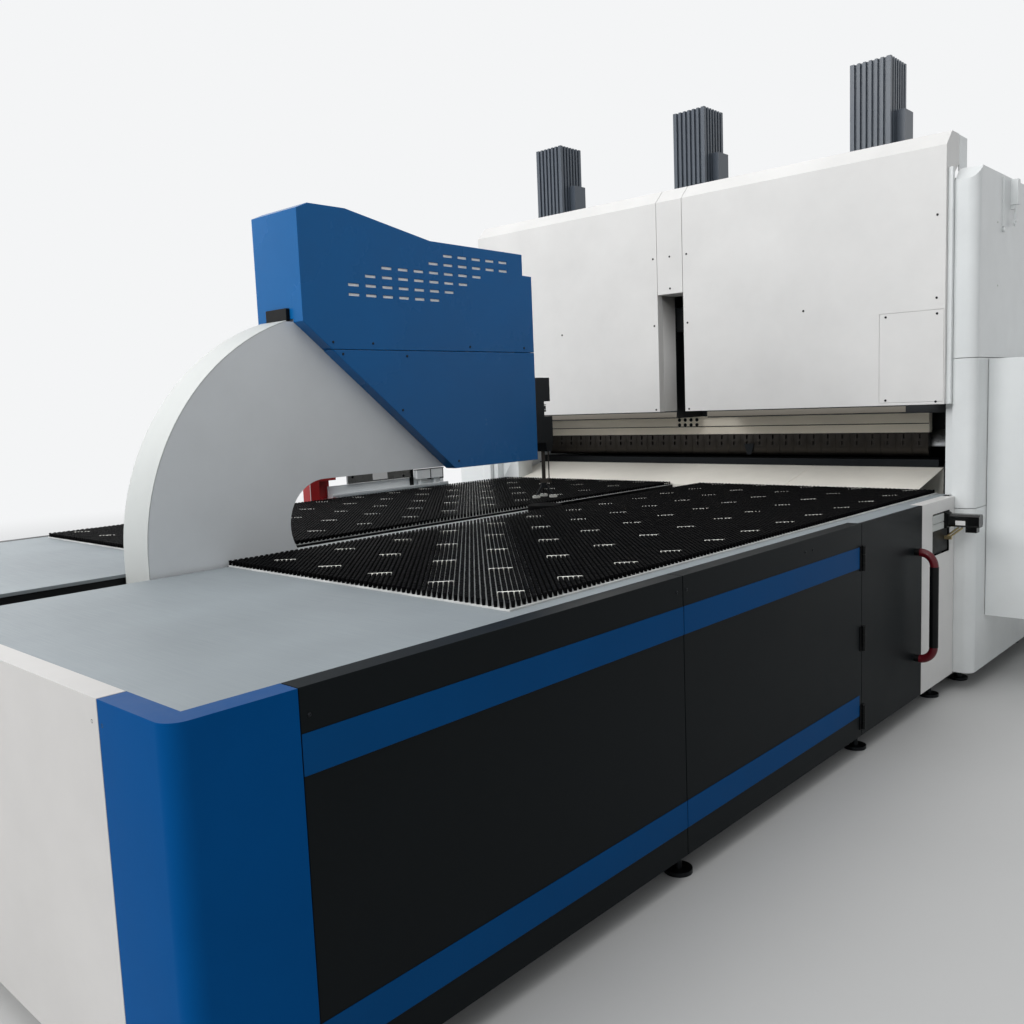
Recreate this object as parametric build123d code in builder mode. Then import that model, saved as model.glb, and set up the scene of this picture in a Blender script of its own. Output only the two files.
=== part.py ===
"""Panel bender: a brush-topped infeed table, a C-shaped arm that clamps the sheet and feeds it
along the table, and a bending host with a press beam, clamping tools and bending blades.

Units are millimetres. The origin is on the floor, under the centre of the machine's box.
+X is to the right seen from the table's front, +Y runs from the table to the host, +Z is up."""

import math
import os

from build123d import *

os.makedirs("parts", exist_ok=True)

# Overall sizes
table_length = 4027.0
host_depth = 2173.0
half_width = 1550.0
deck_z = 950.0
panel_bottom = 80.0
front_y = -(table_length + host_depth) / 2
column_y = front_y + table_length
host_back_y = column_y + host_depth

# Sheet metal
sheet = 3.0
panel_gap = 3.0
ledge = 60.0
body_gap = 0.4

# Table frame
tube = 80.0
frame_inset = 12.0
plate_tray = 12.0
frame_bottom = 120.0
tube_wall = 5.0
first_station = 330.0
last_station_inset = 167.0
station_shares = (0.0, 0.3768, 0.7564, 1.0)
slot_margin = 10.0
foot_radius = 45.0
foot_height = 14.0
foot_stem = 12.0

# Slot along the table's middle, for the arm
slot_width = 200.0
slot_start = 120.0

# Table covers
post_width = 270.0
post_radius = 45.0
front_side_length = 1359.0
end_panel_length = 423.0
door_length = 660.0
stripe_height = 86.0
stripe_low_z = 168.0
stripe_high_z = 771.0
stripe_thickness = 2.0

# Deck
steel_depth = 932.0
edge_strip = 49.0
deck_overrun = 83.0
board_thickness = 28.0
ridge_height = 7.0
ridge_pitch = 42.6
ridge_width = 30.0

# Door hinge and handle
hinge_height = 100.0
hinge_leaf = 22.0
hinge_leaf_thickness = 4.0
knuckle_radius = 8.0
hinge_pin_radius = 4.0
pin_clearance = 0.05
hinge_zs = (110.0, 435.0, 760.0)
handle_z = 512.0
handle_reach = 82.0
handle_length = 480.0
handle_end_radius = 18.0
handle_leg_radius = 16.0
handle_bend = 60.0
grip_radius = 19.0
handle_inset = 80.0

# Drive unit in the right-hand end panel
unit_open_start = 132.0
unit_open_length = 228.0
unit_open_z = 698.0
unit_open_height = 195.0

# Guide unit on the table's left edge
guide_inset = 1557.0
guide_length = 1090.0
guide_channel_length = 180.0
guide_strip_length = 150.0
guide_height = 145.0
guide_width = 78.0

# Feed bed under the slot
bed_width = 170.0
bed_height = 110.0
rail_width = 23.0
rail_height = 22.0
rail_spread = 110.0
screw_radius = 16.0
screw_z = 372.0

# Arm
carriage_length = 240.0
carriage_setback = 760.0
arm_thickness = 170.0
arm_radius = 849.0
rim_thickness = 4.0
arm_centre_offset = 1559.0
arm_centre_z = 1000.0
arm_foot_z = 420.0
throat_top_z = 1221.0
throat_back_offset = 1271.0
throat_radius = 165.0
jaw_top_z = 945.0
jaw_end_offset = 2960.0
disc_radius = 85.0
disc_thickness = 28.0
disc_shaft_radius = 30.0
disc_shaft_length = 90.0

# Head covers, offsets from the table's front
head_half_width = 145.0
head_back = 1340.0
head_front = 2610.0
head_step = 60.0
head_bottom_z = 1212.0
head_top_z = 2230.0
head_front_top_z = 2145.0
head_seam_z = 1705.0
head_corner = (2075.0, 1212.0)
head_heel = (1340.0, 1806.0)
vent_pitch_y = 83.8
vent_pitch_z = 36.8
vent_length = 52.0
vent_height = 10.0
vent_first = 1583.0
vent_first_z = 1912.0
vent_rows = ((1, 6), (1, 7), (2, 8), (3, 9), (6, 11), (7, 11))

# Clamp in front of the head
clamp_axis_offset = 2815.0
clamp_half_width = 45.0
clamp_depth = 183.0
clamp_plate_half = 60.0
clamp_plate_bottom = 26.0
clamp_plate_top = 397.0
clamp_plate_thickness = 50.0
clamp_nose = 25.0
clamp_body_bottom = 69.0
clamp_body_top = 196.0
clamp_motor_bottom = 268.0
clamp_motor_top = 382.0
clamp_motor_step = 14.0
rod_radius = 9.5
thin_rod_radius = 3.0
thin_rod_shift = 34.0
foot_bottom_z = 1010.0
pad_radius = 18.0
pad_spread = 48.0
foot_turn = 135.0

# Host
column_inset = 17.0
column_width = 103.0
column_radius = 50.0
column_bevel = 62.0
column_top_z = 2482.0
column_bottom_z = 85.0
column_seams = (892.0, 1604.0)
cover_gap = 3.0
side_frame_inset = 58.0
host_foot_inset = 160.0
cabinet_width = 378.0
cabinet_setback = 180.0
cabinet_length = 1428.0
cabinet_bottom_z = 347.0
cabinet_top_z = 1598.0
cover_inset = 39.0
cover_forward = 50.0
cover_depth = 171.0
cover_bottom_z = 1392.0
cover_bevel_z = 2580.0
cover_top_z = 2653.0
cover_bevel_depth = 72.0
cover_slot = 170.0
cover_slot_top_z = 2062.0
hatch_inset = 4.0
hatch_width = 306.0
hatch_height = 433.0

base_thickness = 60.0
base_plate = 15.0
base_rib = 60.0
beam_wall = 35.0

# Tools and beams, offsets from the column's front face
tool_left_inset = 128.0
tool_right_inset = 300.0
tool_setback = 493.0
tool_thickness = 45.0
tool_count = 31
tool_gap = 0.6
upper_tool_bottom_z = 1106.0
tool_pockets = ((1202.0, 1228.0, 12.0), (1166.0, 1188.0, 18.0))
upper_tool_top_z = 1234.0
rail_split_z = 1282.0
rail_top_z = 1347.0
rail_overhang = 6.0
lower_tool_top_z = 1095.0
lower_tool_bottom_z = 1050.0
lower_tool_overhang = 58.0
press_beam_front = 160.0
press_beam_top_z = 2000.0
press_notch = 210.0
press_notch_top_z = 1860.0
blade_gap = 12.0
blade_opening = 60.0
blade_inset = 125.0
blade_rib = 60.0
blade_wall = 60.0
blade_beam_height = 400.0
blade_nose_height = 230.0
blade_nose_depth = 160.0
blade_frame_depth = 695.0
blade_web = 260.0
screw_offset = 283.0
drive_spread = 1060.0
drive_screw_radius = 30.0
crown_bottom_z = 2300.0
crown_top_z = 2430.0
lid_height = 25.0
motor_width = 208.0
motor_box_depth = 40.0
motor_box_z = 262.0
motor_box_height = 176.0
motor_top_z = 3115.0
fin_count = 7
fin_depth = 14.0
apron_left_inset = 85.0
apron_right_inset = 212.0
apron_seam_x = 607.0
apron_front_z = 958.0
apron_rear_z = 1048.0


def along(offset):
    """The Y place of an offset from the table's front face."""
    return front_y + offset


def block(x, y, z, mode=Mode.ADD):
    """A box between two corners, given as pairs of limits, in the part that is being built."""
    centre = ((x[0] + x[1]) / 2, (y[0] + y[1]) / 2, (z[0] + z[1]) / 2)
    with Locations(centre):
        Box(abs(x[1] - x[0]), abs(y[1] - y[0]), abs(z[1] - z[0]), mode=mode)


def blocks(size, centres, mode=Mode.ADD):
    """The same box at each of the centres, in the part that is being built."""
    with Locations(*centres):
        Box(*size, mode=mode)


def rod(radius, start, end, mode=Mode.ADD):
    """A round bar from one point to another along one axis, in the part that is being built."""
    start = Vector(*start)
    end = Vector(*end)
    with Locations(Plane(origin=start, z_dir=end - start)):
        Cylinder(radius, (end - start).length, align=(Align.CENTER, Align.CENTER, Align.MIN), mode=mode)


def write(piece, name):
    """Labels a finished piece and writes it under its node's name."""
    piece.part.label = name
    export_step(piece.part, f"parts/{name}.step")


sides = (("left", -1), ("right", 1))
slot_half = slot_width / 2
panel_face = half_width - stripe_thickness
frame_top = deck_z - plate_tray
station_span = table_length - first_station - last_station_inset
stations = [along(first_station + share * station_span) for share in station_shares]
outer_line = panel_face - sheet - frame_inset - tube / 2
inner_line = slot_half + slot_margin + tube / 2
frame_lines = (-outer_line, -inner_line, inner_line, outer_line)
deck_inner = slot_half
deck_outer = half_width - ledge
brush_outer = deck_outer - edge_strip
steel_y = along(ledge)
brush_y = along(ledge + steel_depth)
brush_end_y = column_y + deck_overrun
front_panel_half = half_width - post_width - panel_gap
side_y = along(post_width + panel_gap)
seam_y = side_y + front_side_length
rear_y = seam_y + panel_gap
hinge_y = column_y - panel_gap - end_panel_length - panel_gap - door_length - panel_gap / 2
door_y = hinge_y + panel_gap / 2
end_y = door_y + door_length + panel_gap
side_frame_inner = half_width - side_frame_inset
cover_half_width = half_width - cover_inset
column_inner = half_width - column_inset
column_outer = column_inner + column_width
frame_outer = column_inner
tool_limits = (-(half_width - tool_left_inset), half_width - tool_right_inset)


# The table

# Welded frame of square tube: two long rails each side of the slot and along each edge,
# on posts at the stations, tied across the slot only near the floor
rail_length = stations[-1] - stations[0] + tube
rail_y = (stations[0] + stations[-1]) / 2
rail_zs = (frame_bottom + tube / 2, frame_top - tube / 2)
posts = [(line, station) for line in frame_lines for station in stations]
post_height = frame_top - frame_bottom
with BuildPart() as table_frame:
    blocks((tube, rail_length, tube), [(line, rail_y, z) for line in frame_lines for z in rail_zs])
    blocks((tube, tube, post_height), [(x, y, (frame_top + frame_bottom) / 2) for x, y in posts])
    blocks((2 * outer_line, tube, tube), [(0, station, rail_zs[0]) for station in stations])
    blocks(
        (outer_line - inner_line, tube, tube),
        [
            (sign * (outer_line + inner_line) / 2, station, rail_zs[1])
            for _, sign in sides
            for station in stations
        ],
    )
    hollow = tube - 2 * tube_wall
    blocks(
        (hollow, rail_length + 2, hollow),
        [(line, rail_y, z) for line in frame_lines for z in rail_zs],
        mode=Mode.SUBTRACT,
    )
    blocks(
        (hollow, hollow, post_height - 4 * tube_wall),
        [(x, y, (frame_top + frame_bottom) / 2) for x, y in posts],
        mode=Mode.SUBTRACT,
    )
write(table_frame, "table_frame")

# Levelling feet under every post of the table, under the side frames and under the base's ribs
host_y = (column_y + 33, host_back_y - 30)
base_y = (column_y + tool_setback - 360, host_y[1])
cell = (2 * side_frame_inner / 4, (base_y[1] - base_y[0]) / 3)
side_feet = [
    (sign * (side_frame_inner + frame_outer) / 2, y)
    for _, sign in sides
    for y in (host_y[0] + host_foot_inset, sum(host_y) / 2, host_y[1] - host_foot_inset)
]
rib_feet = [(x, base_y[0] + row * cell[1]) for x in (-cell[0], 0.0, cell[0]) for row in (1, 2)]
feet_bottom = (Align.CENTER, Align.CENTER, Align.MIN)
with BuildPart() as levelling_feet:
    with Locations(*[(x, y, 0) for x, y in posts + side_feet + rib_feet]):
        Cylinder(foot_radius, foot_height, align=feet_bottom)
    with Locations(*[(x, y, foot_height) for x, y in posts]):
        Cylinder(foot_stem, frame_bottom - foot_height, align=feet_bottom)
    with Locations(*[(x, y, foot_height) for x, y in side_feet]):
        Cylinder(1.5 * foot_stem, column_bottom_z - foot_height, align=feet_bottom)
    with Locations(*[(x, y, foot_height) for x, y in rib_feet]):
        Cylinder(2 * foot_stem, panel_bottom - foot_height, align=feet_bottom)
write(levelling_feet, "levelling_feet")

# Front panel: a folded tray with a ledge along its top
with BuildPart() as front_panel:
    block(
        (-front_panel_half, front_panel_half),
        (front_y, front_y + ledge),
        (panel_bottom, deck_z),
    )
    block(
        (-front_panel_half + sheet, front_panel_half - sheet),
        (front_y + sheet, front_y + ledge),
        (panel_bottom + sheet, deck_z - sheet),
        mode=Mode.SUBTRACT,
    )
    block(
        (-slot_half + body_gap, slot_half - body_gap),
        (front_y + ledge, along(slot_start)),
        (frame_top, deck_z),
    )
write(front_panel, "front_panel")

# Corner posts: one sheet rolled round the table's front corners, closed by a top plate
with BuildPart() as corner_posts:
    for _, sign in sides:
        with BuildSketch(Plane.XY.offset(panel_bottom)) as square:
            with Locations((sign * (half_width - post_width / 2), front_y + post_width / 2)):
                Rectangle(post_width, post_width)
            front = square.vertices().group_by(Axis.Y)[0].sort_by(Axis.X)
            fillet(front[0 if sign < 0 else -1], radius=post_radius)
        extrude(amount=deck_z - panel_bottom)
        block(
            (sign * (half_width - post_width - 1), sign * (half_width - ledge)),
            (front_y + ledge, front_y + post_width + 1),
            (panel_bottom - 1, deck_z + 1),
            mode=Mode.SUBTRACT,
        )
        block(
            (sign * (half_width - post_width - 1), sign * (half_width - post_radius - sheet)),
            (front_y + sheet, front_y + ledge + 1),
            (panel_bottom - 1, deck_z - sheet),
            mode=Mode.SUBTRACT,
        )
        block(
            (sign * (half_width - ledge - 1), sign * (half_width - sheet)),
            (front_y + post_radius + sheet, front_y + post_width + 1),
            (panel_bottom - 1, deck_z - sheet),
            mode=Mode.SUBTRACT,
        )
write(corner_posts, "corner_posts")


tray_depth = sheet + frame_inset - body_gap


def side_tray(sign, start, end):
    """A side panel folded back along its edges, with a wide ledge on top."""
    with BuildPart() as tray:
        block((sign * (panel_face - tray_depth), sign * panel_face), (start, end), (panel_bottom, deck_z))
        block((sign * (half_width - ledge), sign * panel_face), (start, end), (deck_z - sheet, deck_z))
        block(
            (sign * (panel_face - tray_depth - 1), sign * (panel_face - sheet)),
            (start + sheet, end - sheet),
            (panel_bottom + sheet, deck_z - sheet),
            mode=Mode.SUBTRACT,
        )
    return tray


for name, sign in sides:
    write(side_tray(sign, side_y, seam_y), f"side_panel_front_{name}")
    rear_end = hinge_y - panel_gap / 2 if sign > 0 else column_y - panel_gap
    write(side_tray(sign, rear_y, rear_end), f"side_panel_rear_{name}")

# Coloured strips along the side panels, split where the panels are
with BuildPart() as side_stripes:
    for _, sign in sides:
        for start, end in ((side_y, seam_y), (rear_y, hinge_y - panel_gap / 2 - hinge_leaf - 1)):
            for low in (stripe_low_z, stripe_high_z):
                block((sign * panel_face, sign * half_width), (start, end), (low, low + stripe_height))
write(side_stripes, "side_stripes")

# End panel between the door and the host, with an opening for the drive unit
unit_y = (end_y + unit_open_start, end_y + unit_open_start + unit_open_length)
unit_z = (unit_open_z, unit_open_z + unit_open_height)
end_panel = side_tray(1, end_y, column_y - panel_gap)
with end_panel:
    block((panel_face - 2 * sheet, panel_face + 1), unit_y, unit_z, mode=Mode.SUBTRACT)
write(end_panel, "end_panel")

# Access door on the right, hung on three hinges
door_end = door_y + door_length
with BuildPart() as access_door:
    block((panel_face - tray_depth, panel_face), (door_y, door_end), (panel_bottom, deck_z))
    block(
        (panel_face - tray_depth - 1, panel_face - sheet),
        (door_y + sheet, door_end - sheet),
        (panel_bottom + sheet, deck_z - sheet),
        mode=Mode.SUBTRACT,
    )
write(access_door, "access_door")

hinge_x = panel_face + knuckle_radius
leaf_x = (panel_face, panel_face + hinge_leaf_thickness)


def hinge_leaves(sign, knuckles):
    """One leaf of each hinge: a plate on the panel and its knuckles round the pin."""
    part_height = hinge_height / 3
    with BuildPart() as leaves:
        for low in hinge_zs:
            leaf_y = (hinge_y + sign * knuckle_radius / 2, hinge_y + sign * hinge_leaf)
            block(leaf_x, leaf_y, (low, low + hinge_height))
            for place in knuckles:
                bottom = low + place * part_height + body_gap / 2
                top = low + (place + 1) * part_height - body_gap / 2
                rod(knuckle_radius, (hinge_x, hinge_y, bottom), (hinge_x, hinge_y, top))
            for place in {0, 1, 2} - set(knuckles):
                bottom = low + place * part_height - body_gap / 2
                top = low + (place + 1) * part_height + body_gap / 2
                ends = ((hinge_x, hinge_y, bottom), (hinge_x, hinge_y, top))
                rod(knuckle_radius + 1, *ends, mode=Mode.SUBTRACT)
            rod(
                hinge_pin_radius + (pin_clearance if sign > 0 else 0),
                (hinge_x, hinge_y, low - 1),
                (hinge_x, hinge_y, low + hinge_height + 1),
                mode=Mode.SUBTRACT,
            )
    return leaves


write(hinge_leaves(-1, (0, 2)), "frame_hinge_leaves")
write(hinge_leaves(1, (1,)), "door_hinge_leaves")

with BuildPart() as hinge_pins:
    for low in hinge_zs:
        rod(hinge_pin_radius, (hinge_x, hinge_y, low), (hinge_x, hinge_y, low + hinge_height))
write(hinge_pins, "hinge_pins")

# Pull handle: bent sleeves join a straight grip to two short legs
handle_y = door_end - handle_inset
grip_half = handle_length / 2 - handle_bend
leg_end = panel_face + handle_reach - handle_bend
with BuildPart() as handle_ends:
    for sign in (-1, 1):
        tip_z = handle_z + sign * handle_length / 2
        middle = handle_bend * math.sqrt(0.5)
        with BuildLine() as bend:
            ThreePointArc(
                (leg_end, handle_y, tip_z),
                (leg_end + middle, handle_y, tip_z - sign * (handle_bend - middle)),
                (panel_face + handle_reach, handle_y, handle_z + sign * grip_half),
            )
        with BuildSketch(Plane(origin=bend.line @ 0, z_dir=bend.line % 0)):
            Circle(handle_end_radius)
        sweep(path=bend.line)
write(handle_ends, "handle_ends")

with BuildPart() as handle_grip:
    rod(
        grip_radius,
        (panel_face + handle_reach, handle_y, handle_z - grip_half),
        (panel_face + handle_reach, handle_y, handle_z + grip_half),
    )
    for sign in (-1, 1):
        leg_z = handle_z + sign * handle_length / 2
        rod(handle_leg_radius, (panel_face, handle_y, leg_z), (leg_end, handle_y, leg_z))
write(handle_grip, "handle_grip")

# Steel deck plates: a shallow folded tray with a tongue that runs along the brushes
ledge_end = column_y - panel_gap
with BuildPart() as deck_plates:
    for _, sign in sides:
        block((sign * deck_inner, sign * deck_outer), (steel_y, brush_y), (frame_top, deck_z))
        block((sign * brush_outer, sign * deck_outer), (steel_y, brush_end_y), (frame_top, deck_z))
        block(
            (sign * (deck_inner + sheet), sign * (deck_outer - sheet)),
            (steel_y + sheet, brush_y - sheet),
            (frame_top - 1, deck_z - sheet),
            mode=Mode.SUBTRACT,
        )
        block(
            (sign * (brush_outer + sheet), sign * (deck_outer - sheet)),
            (steel_y + sheet, brush_end_y - sheet),
            (frame_top - 1, deck_z - sheet),
            mode=Mode.SUBTRACT,
        )
    # a ledge over the door, from the rear side panel to the end panel
    block(
        (half_width - ledge, panel_face - tray_depth - body_gap),
        (hinge_y - panel_gap / 2, end_y),
        (deck_z - sheet, deck_z),
    )
write(deck_plates, "deck_plates")

# Brush decks: boards with rows of bristle tufts, drawn as ridges
ridge_count = int((brush_end_y - brush_y - ridge_width) / ridge_pitch) + 1
for name, sign in sides:
    with BuildPart() as brush_deck:
        block(
            (sign * deck_inner, sign * (brush_outer - body_gap)),
            (brush_y + body_gap, brush_end_y),
            (frame_top, frame_top + board_thickness),
        )
        first = brush_y + ridge_pitch - ridge_width / 2
        blocks(
            (brush_outer - deck_inner - 12, ridge_width, ridge_height),
            [
                (
                    sign * (brush_outer + deck_inner) / 2,
                    first + row * ridge_pitch,
                    frame_top + board_thickness + ridge_height / 2,
                )
                for row in range(ridge_count)
            ],
        )
    write(brush_deck, f"brush_deck_{name}")

# Feed bed: a beam on the frame's cross members, with two rails and a screw bearing at each end
bed_bottom = frame_bottom + tube
bed_top = bed_bottom + bed_height
bed_y = (along(slot_start) + tube, stations[-1] + tube / 2)
rail_top = bed_top + rail_height
with BuildPart() as feed_bed:
    block((-bed_width / 2, bed_width / 2), bed_y, (bed_bottom, bed_top))
    for sign in (-1, 1):
        rail_x = sign * rail_spread / 2
        block((rail_x - rail_width / 2, rail_x + rail_width / 2), bed_y, (bed_top, rail_top))
    for start in (bed_y[0], bed_y[1] - 40):
        block((-30, 30), (start, start + 40), (bed_top, screw_z + 30))
    screw_line = ((0, bed_y[0] - 1, screw_z), (0, bed_y[1] + 1, screw_z))
    rod(screw_radius + pin_clearance, *screw_line, mode=Mode.SUBTRACT)
write(feed_bed, "feed_bed")

with BuildPart() as feed_screw:
    rod(screw_radius, (0, bed_y[0] - 20, screw_z), (0, bed_y[1], screw_z))
write(feed_screw, "feed_screw")

# Drive unit that stands out of the end panel
gear_y = (unit_y[0] + 8, unit_y[1] - 8)
gear_top_z = (unit_z[1] - 83, unit_z[1] - 7)
motor_x = (panel_face + 14, panel_face + 150)
motor_y = (unit_y[1] - 64, unit_y[1] - 4)
motor_z = (unit_z[1] - 73, unit_z[1] - 14)
post_face = outer_line + tube / 2
with BuildPart() as drive_gearbox:
    block((post_face, panel_face + 14), gear_y, (unit_z[1] - 82, unit_z[1] - 8))
    block(
        (panel_face - 22, panel_face + 15),
        (gear_y[0] - 1, motor_y[0] - 12),
        gear_top_z,
        mode=Mode.SUBTRACT,
    )
    block((post_face, post_face + 9), gear_y, (unit_z[0] + 6, unit_z[1] - 82))
write(drive_gearbox, "drive_gearbox")

with BuildPart() as drive_motor:
    block(motor_x, motor_y, motor_z)
    chamfer(drive_motor.edges().filter_by(Axis.X), length=9)
    plug_x = (motor_x[0] + 74, motor_x[1] - 12)
    block(plug_x, (motor_y[0] + 8, motor_y[1] - 10), (motor_z[0] - 25, motor_z[0]))
write(drive_motor, "drive_motor")

with BuildPart() as drive_rods:
    rod_y = motor_y[0] + 16
    for shift in (0, 18):
        low = (panel_face - 2 + shift, rod_y, motor_z[0] - 52)
        rod(4.5, low, (panel_face + 56 + shift, rod_y, motor_z[0] - 4))
    block((post_face + 9, panel_face + 26), (rod_y - 8, rod_y + 8), (motor_z[0] - 62, motor_z[0] - 46))
write(drive_rods, "drive_rods")

# Guide unit on the table's left edge: a red channel at its front end, a long bar and a carriage plate
guide_x = (-half_width + 8, -half_width + 8 + guide_width)
guide_y = (column_y - guide_inset, column_y - guide_inset + guide_length)
channel_end = guide_y[0] + guide_channel_length
with BuildPart() as guide_channel:
    block(guide_x, (guide_y[0], channel_end), (deck_z, deck_z + guide_height))
    block(
        (guide_x[0] + 8, guide_x[1] + 1),
        (guide_y[0] + 60, channel_end + 1),
        (deck_z + 14, deck_z + guide_height - 22),
        mode=Mode.SUBTRACT,
    )
    block(
        (guide_x[0], guide_x[0] + 20),
        (channel_end - 1, channel_end + guide_strip_length),
        (deck_z + guide_height - 12, deck_z + guide_height),
    )
write(guide_channel, "guide_channel")

bar_z = (deck_z + 34, deck_z + 62)
with BuildPart() as guide_bar:
    block((guide_x[0] + 20, guide_x[1] - 6), (guide_y[0] + 62, guide_y[1]), bar_z)
    for foot_y in (channel_end + 40, guide_y[1] - 90):
        block((guide_x[0] + 24, guide_x[1] - 10), (foot_y, foot_y + 60), (deck_z, bar_z[0]))
    block((guide_x[0] + 22, guide_x[0] + 40), (channel_end + 30, channel_end + 600), (bar_z[1], deck_z + 148))
    low_y = channel_end + 616
    block((guide_x[0] + 22, guide_x[1] - 10), (low_y, low_y + 164), (bar_z[1], deck_z + 142))
write(guide_bar, "guide_bar")


# The arm

arm_half = arm_thickness / 2
arm_centre = (along(arm_centre_offset), arm_centre_z)
arm_back = arm_centre[0] - arm_radius
heel = (along(head_heel[0]), head_heel[1])
neck_y = heel[0] - 30
neck_z = arm_centre_z + math.sqrt(arm_radius**2 - (arm_centre[0] - neck_y) ** 2)
core_radius = arm_radius - rim_thickness
core_neck_z = arm_centre_z + math.sqrt(core_radius**2 - (arm_centre[0] - neck_y) ** 2)
jaw_end = along(jaw_end_offset)
throat_back = along(throat_back_offset)
head_inside = along(head_front) - 3 * sheet
disc_y = along(clamp_axis_offset)
throat_middle_z = throat_top_z - throat_radius
throat_reach = math.sqrt(throat_radius**2 - (throat_middle_z - jaw_top_z) ** 2)


def arc_point(radius, angle):
    """A point on a circle round the arm's centre, at an angle in degrees above the rear."""
    turn = math.radians(angle)
    return (arm_centre[0] - radius * math.cos(turn), arm_centre[1] + radius * math.sin(turn))


neck_angle = math.degrees(math.asin((neck_z - arm_centre_z) / arm_radius))
core_angle = math.degrees(math.asin((core_neck_z - arm_centre_z) / core_radius))

# One welded C: a round back, a deep throat above the deck and a jaw that runs in the slot
with BuildPart() as arm_frame:
    with BuildSketch(Plane.YZ.offset(-arm_half)):
        with BuildLine():
            back = ThreePointArc(
                arc_point(core_radius, 0),
                arc_point(core_radius, core_angle / 2),
                arc_point(core_radius, core_angle),
            )
            top = Polyline(
                back @ 1,
                (heel[0] + 12, core_neck_z),
                (heel[0] + 60, head_top_z - 120),
                (heel[0] + 220, head_top_z - 60),
                (head_inside - 560, head_front_top_z - 60),
                (head_inside - head_step, head_front_top_z - 60),
                (head_inside - head_step, head_seam_z),
                (head_inside, head_seam_z),
                (head_inside, throat_top_z),
                (throat_back + throat_radius, throat_top_z),
            )
            throat = ThreePointArc(
                top @ 1,
                (throat_back, throat_middle_z),
                (throat_back + throat_radius - throat_reach, jaw_top_z),
            )
            Polyline(
                throat @ 1,
                (jaw_end, jaw_top_z),
                (jaw_end, jaw_top_z - 160),
                (jaw_end - 700, arm_foot_z),
                (arm_back + rim_thickness, arm_foot_z),
                arc_point(core_radius, 0),
            )
        make_face()
    extrude(amount=arm_thickness)
    rod(
        disc_shaft_radius + pin_clearance,
        (0, disc_y, jaw_top_z - disc_shaft_length),
        (0, disc_y, jaw_top_z + 1),
        mode=Mode.SUBTRACT,
    )
write(arm_frame, "arm_frame")

# Bent strip that closes the round back
with BuildPart() as arm_rim_strip:
    with BuildSketch(Plane.YZ.offset(-arm_half)):
        with BuildLine():
            outer = ThreePointArc(
                arc_point(arm_radius, 0),
                arc_point(arm_radius, neck_angle / 2),
                arc_point(arm_radius, neck_angle),
            )
            inner_arc = ThreePointArc(
                arc_point(core_radius, core_angle),
                arc_point(core_radius, core_angle / 2),
                arc_point(core_radius, 0),
            )
            Line(outer @ 1, inner_arc @ 0)
            Polyline(
                inner_arc @ 1,
                (arm_back + rim_thickness, arm_foot_z),
                (arm_back, arm_foot_z),
                outer @ 0,
            )
        make_face()
    extrude(amount=arm_thickness)
write(arm_rim_strip, "arm_rim_strip")

# Carriages under the arm, astride the rails, with the nut round the feed screw between them
carriage_gap = 0.5
with BuildPart() as feed_carriages:
    for start in (arm_back + 60, jaw_end - carriage_setback - carriage_length):
        for sign in (-1, 1):
            rail_x = sign * rail_spread / 2
            block((rail_x - 30, rail_x + 30), (start, start + carriage_length), (bed_top + 4, arm_foot_z))
            block(
                (rail_x - rail_width / 2 - carriage_gap, rail_x + rail_width / 2 + carriage_gap),
                (start - 1, start + carriage_length + 1),
                (bed_top, rail_top + carriage_gap),
                mode=Mode.SUBTRACT,
            )
        block((-24.5, 24.5), (start + 40, start + carriage_length - 40), (screw_z - 24, arm_foot_z))
        rod(
            screw_radius + pin_clearance,
            (0, start, screw_z),
            (0, start + carriage_length, screw_z),
            mode=Mode.SUBTRACT,
        )
write(feed_carriages, "feed_carriages")

# Head covers: the outline seen from the side, split at the seam
head_outline = (
    (heel[0], head_top_z - 22),
    (heel[0] + 50, head_top_z),
    (heel[0] + 220, head_top_z),
    (heel[0] + 650, head_front_top_z + 5),
    (along(head_front) - head_step, head_front_top_z - 3),
    (along(head_front) - head_step, head_front_top_z - 95),
    (along(head_front), head_front_top_z - 97),
)
corner = (along(head_corner[0]), head_corner[1])
slope = (heel[1] - corner[1]) / (corner[0] - heel[0])
seam_heel_y = heel[0] + (heel[1] - head_seam_z) / slope

with BuildPart() as head_cover_upper:
    with BuildSketch(Plane.YZ.offset(-head_half_width)):
        with BuildLine():
            Polyline(
                *head_outline,
                (along(head_front), head_seam_z + 1),
                (seam_heel_y, head_seam_z + 1),
                heel,
                close=True,
            )
        make_face()
    extrude(amount=2 * head_half_width)
    offset(amount=-sheet, openings=head_cover_upper.faces().filter_by(Axis.Z).sort_by(Axis.Z)[0])
    arm_gap = arm_half + body_gap
    block(
        (-arm_gap, arm_gap),
        (heel[0] - 1, seam_heel_y + 20),
        (head_seam_z, neck_z + 6),
        mode=Mode.SUBTRACT,
    )
    blocks(
        (2 * head_half_width + 2, vent_length, vent_height),
        [
            (0, along(vent_first + (column - 1) * vent_pitch_y), vent_first_z + row * vent_pitch_z)
            for row, (first, last) in enumerate(vent_rows)
            for column in range(first, last + 1)
        ],
        mode=Mode.SUBTRACT,
    )
write(head_cover_upper, "head_cover_upper")

with BuildPart() as head_cover_lower:
    with BuildSketch(Plane.YZ.offset(-head_half_width)):
        with BuildLine():
            Polyline(
                (seam_heel_y, head_seam_z - 1),
                (along(head_front), head_seam_z - 1),
                (along(head_front), head_bottom_z),
                corner,
                close=True,
            )
        make_face()
    extrude(amount=2 * head_half_width)
    open_top = head_cover_lower.faces().filter_by(Axis.Z).sort_by(Axis.Z)[-1:]
    offset(amount=-sheet, openings=open_top)
    block(
        (-arm_gap, arm_gap),
        (heel[0], along(head_front) - 2 * sheet),
        (head_bottom_z - 1, head_seam_z),
        mode=Mode.SUBTRACT,
    )
write(head_cover_lower, "head_cover_lower")

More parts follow.
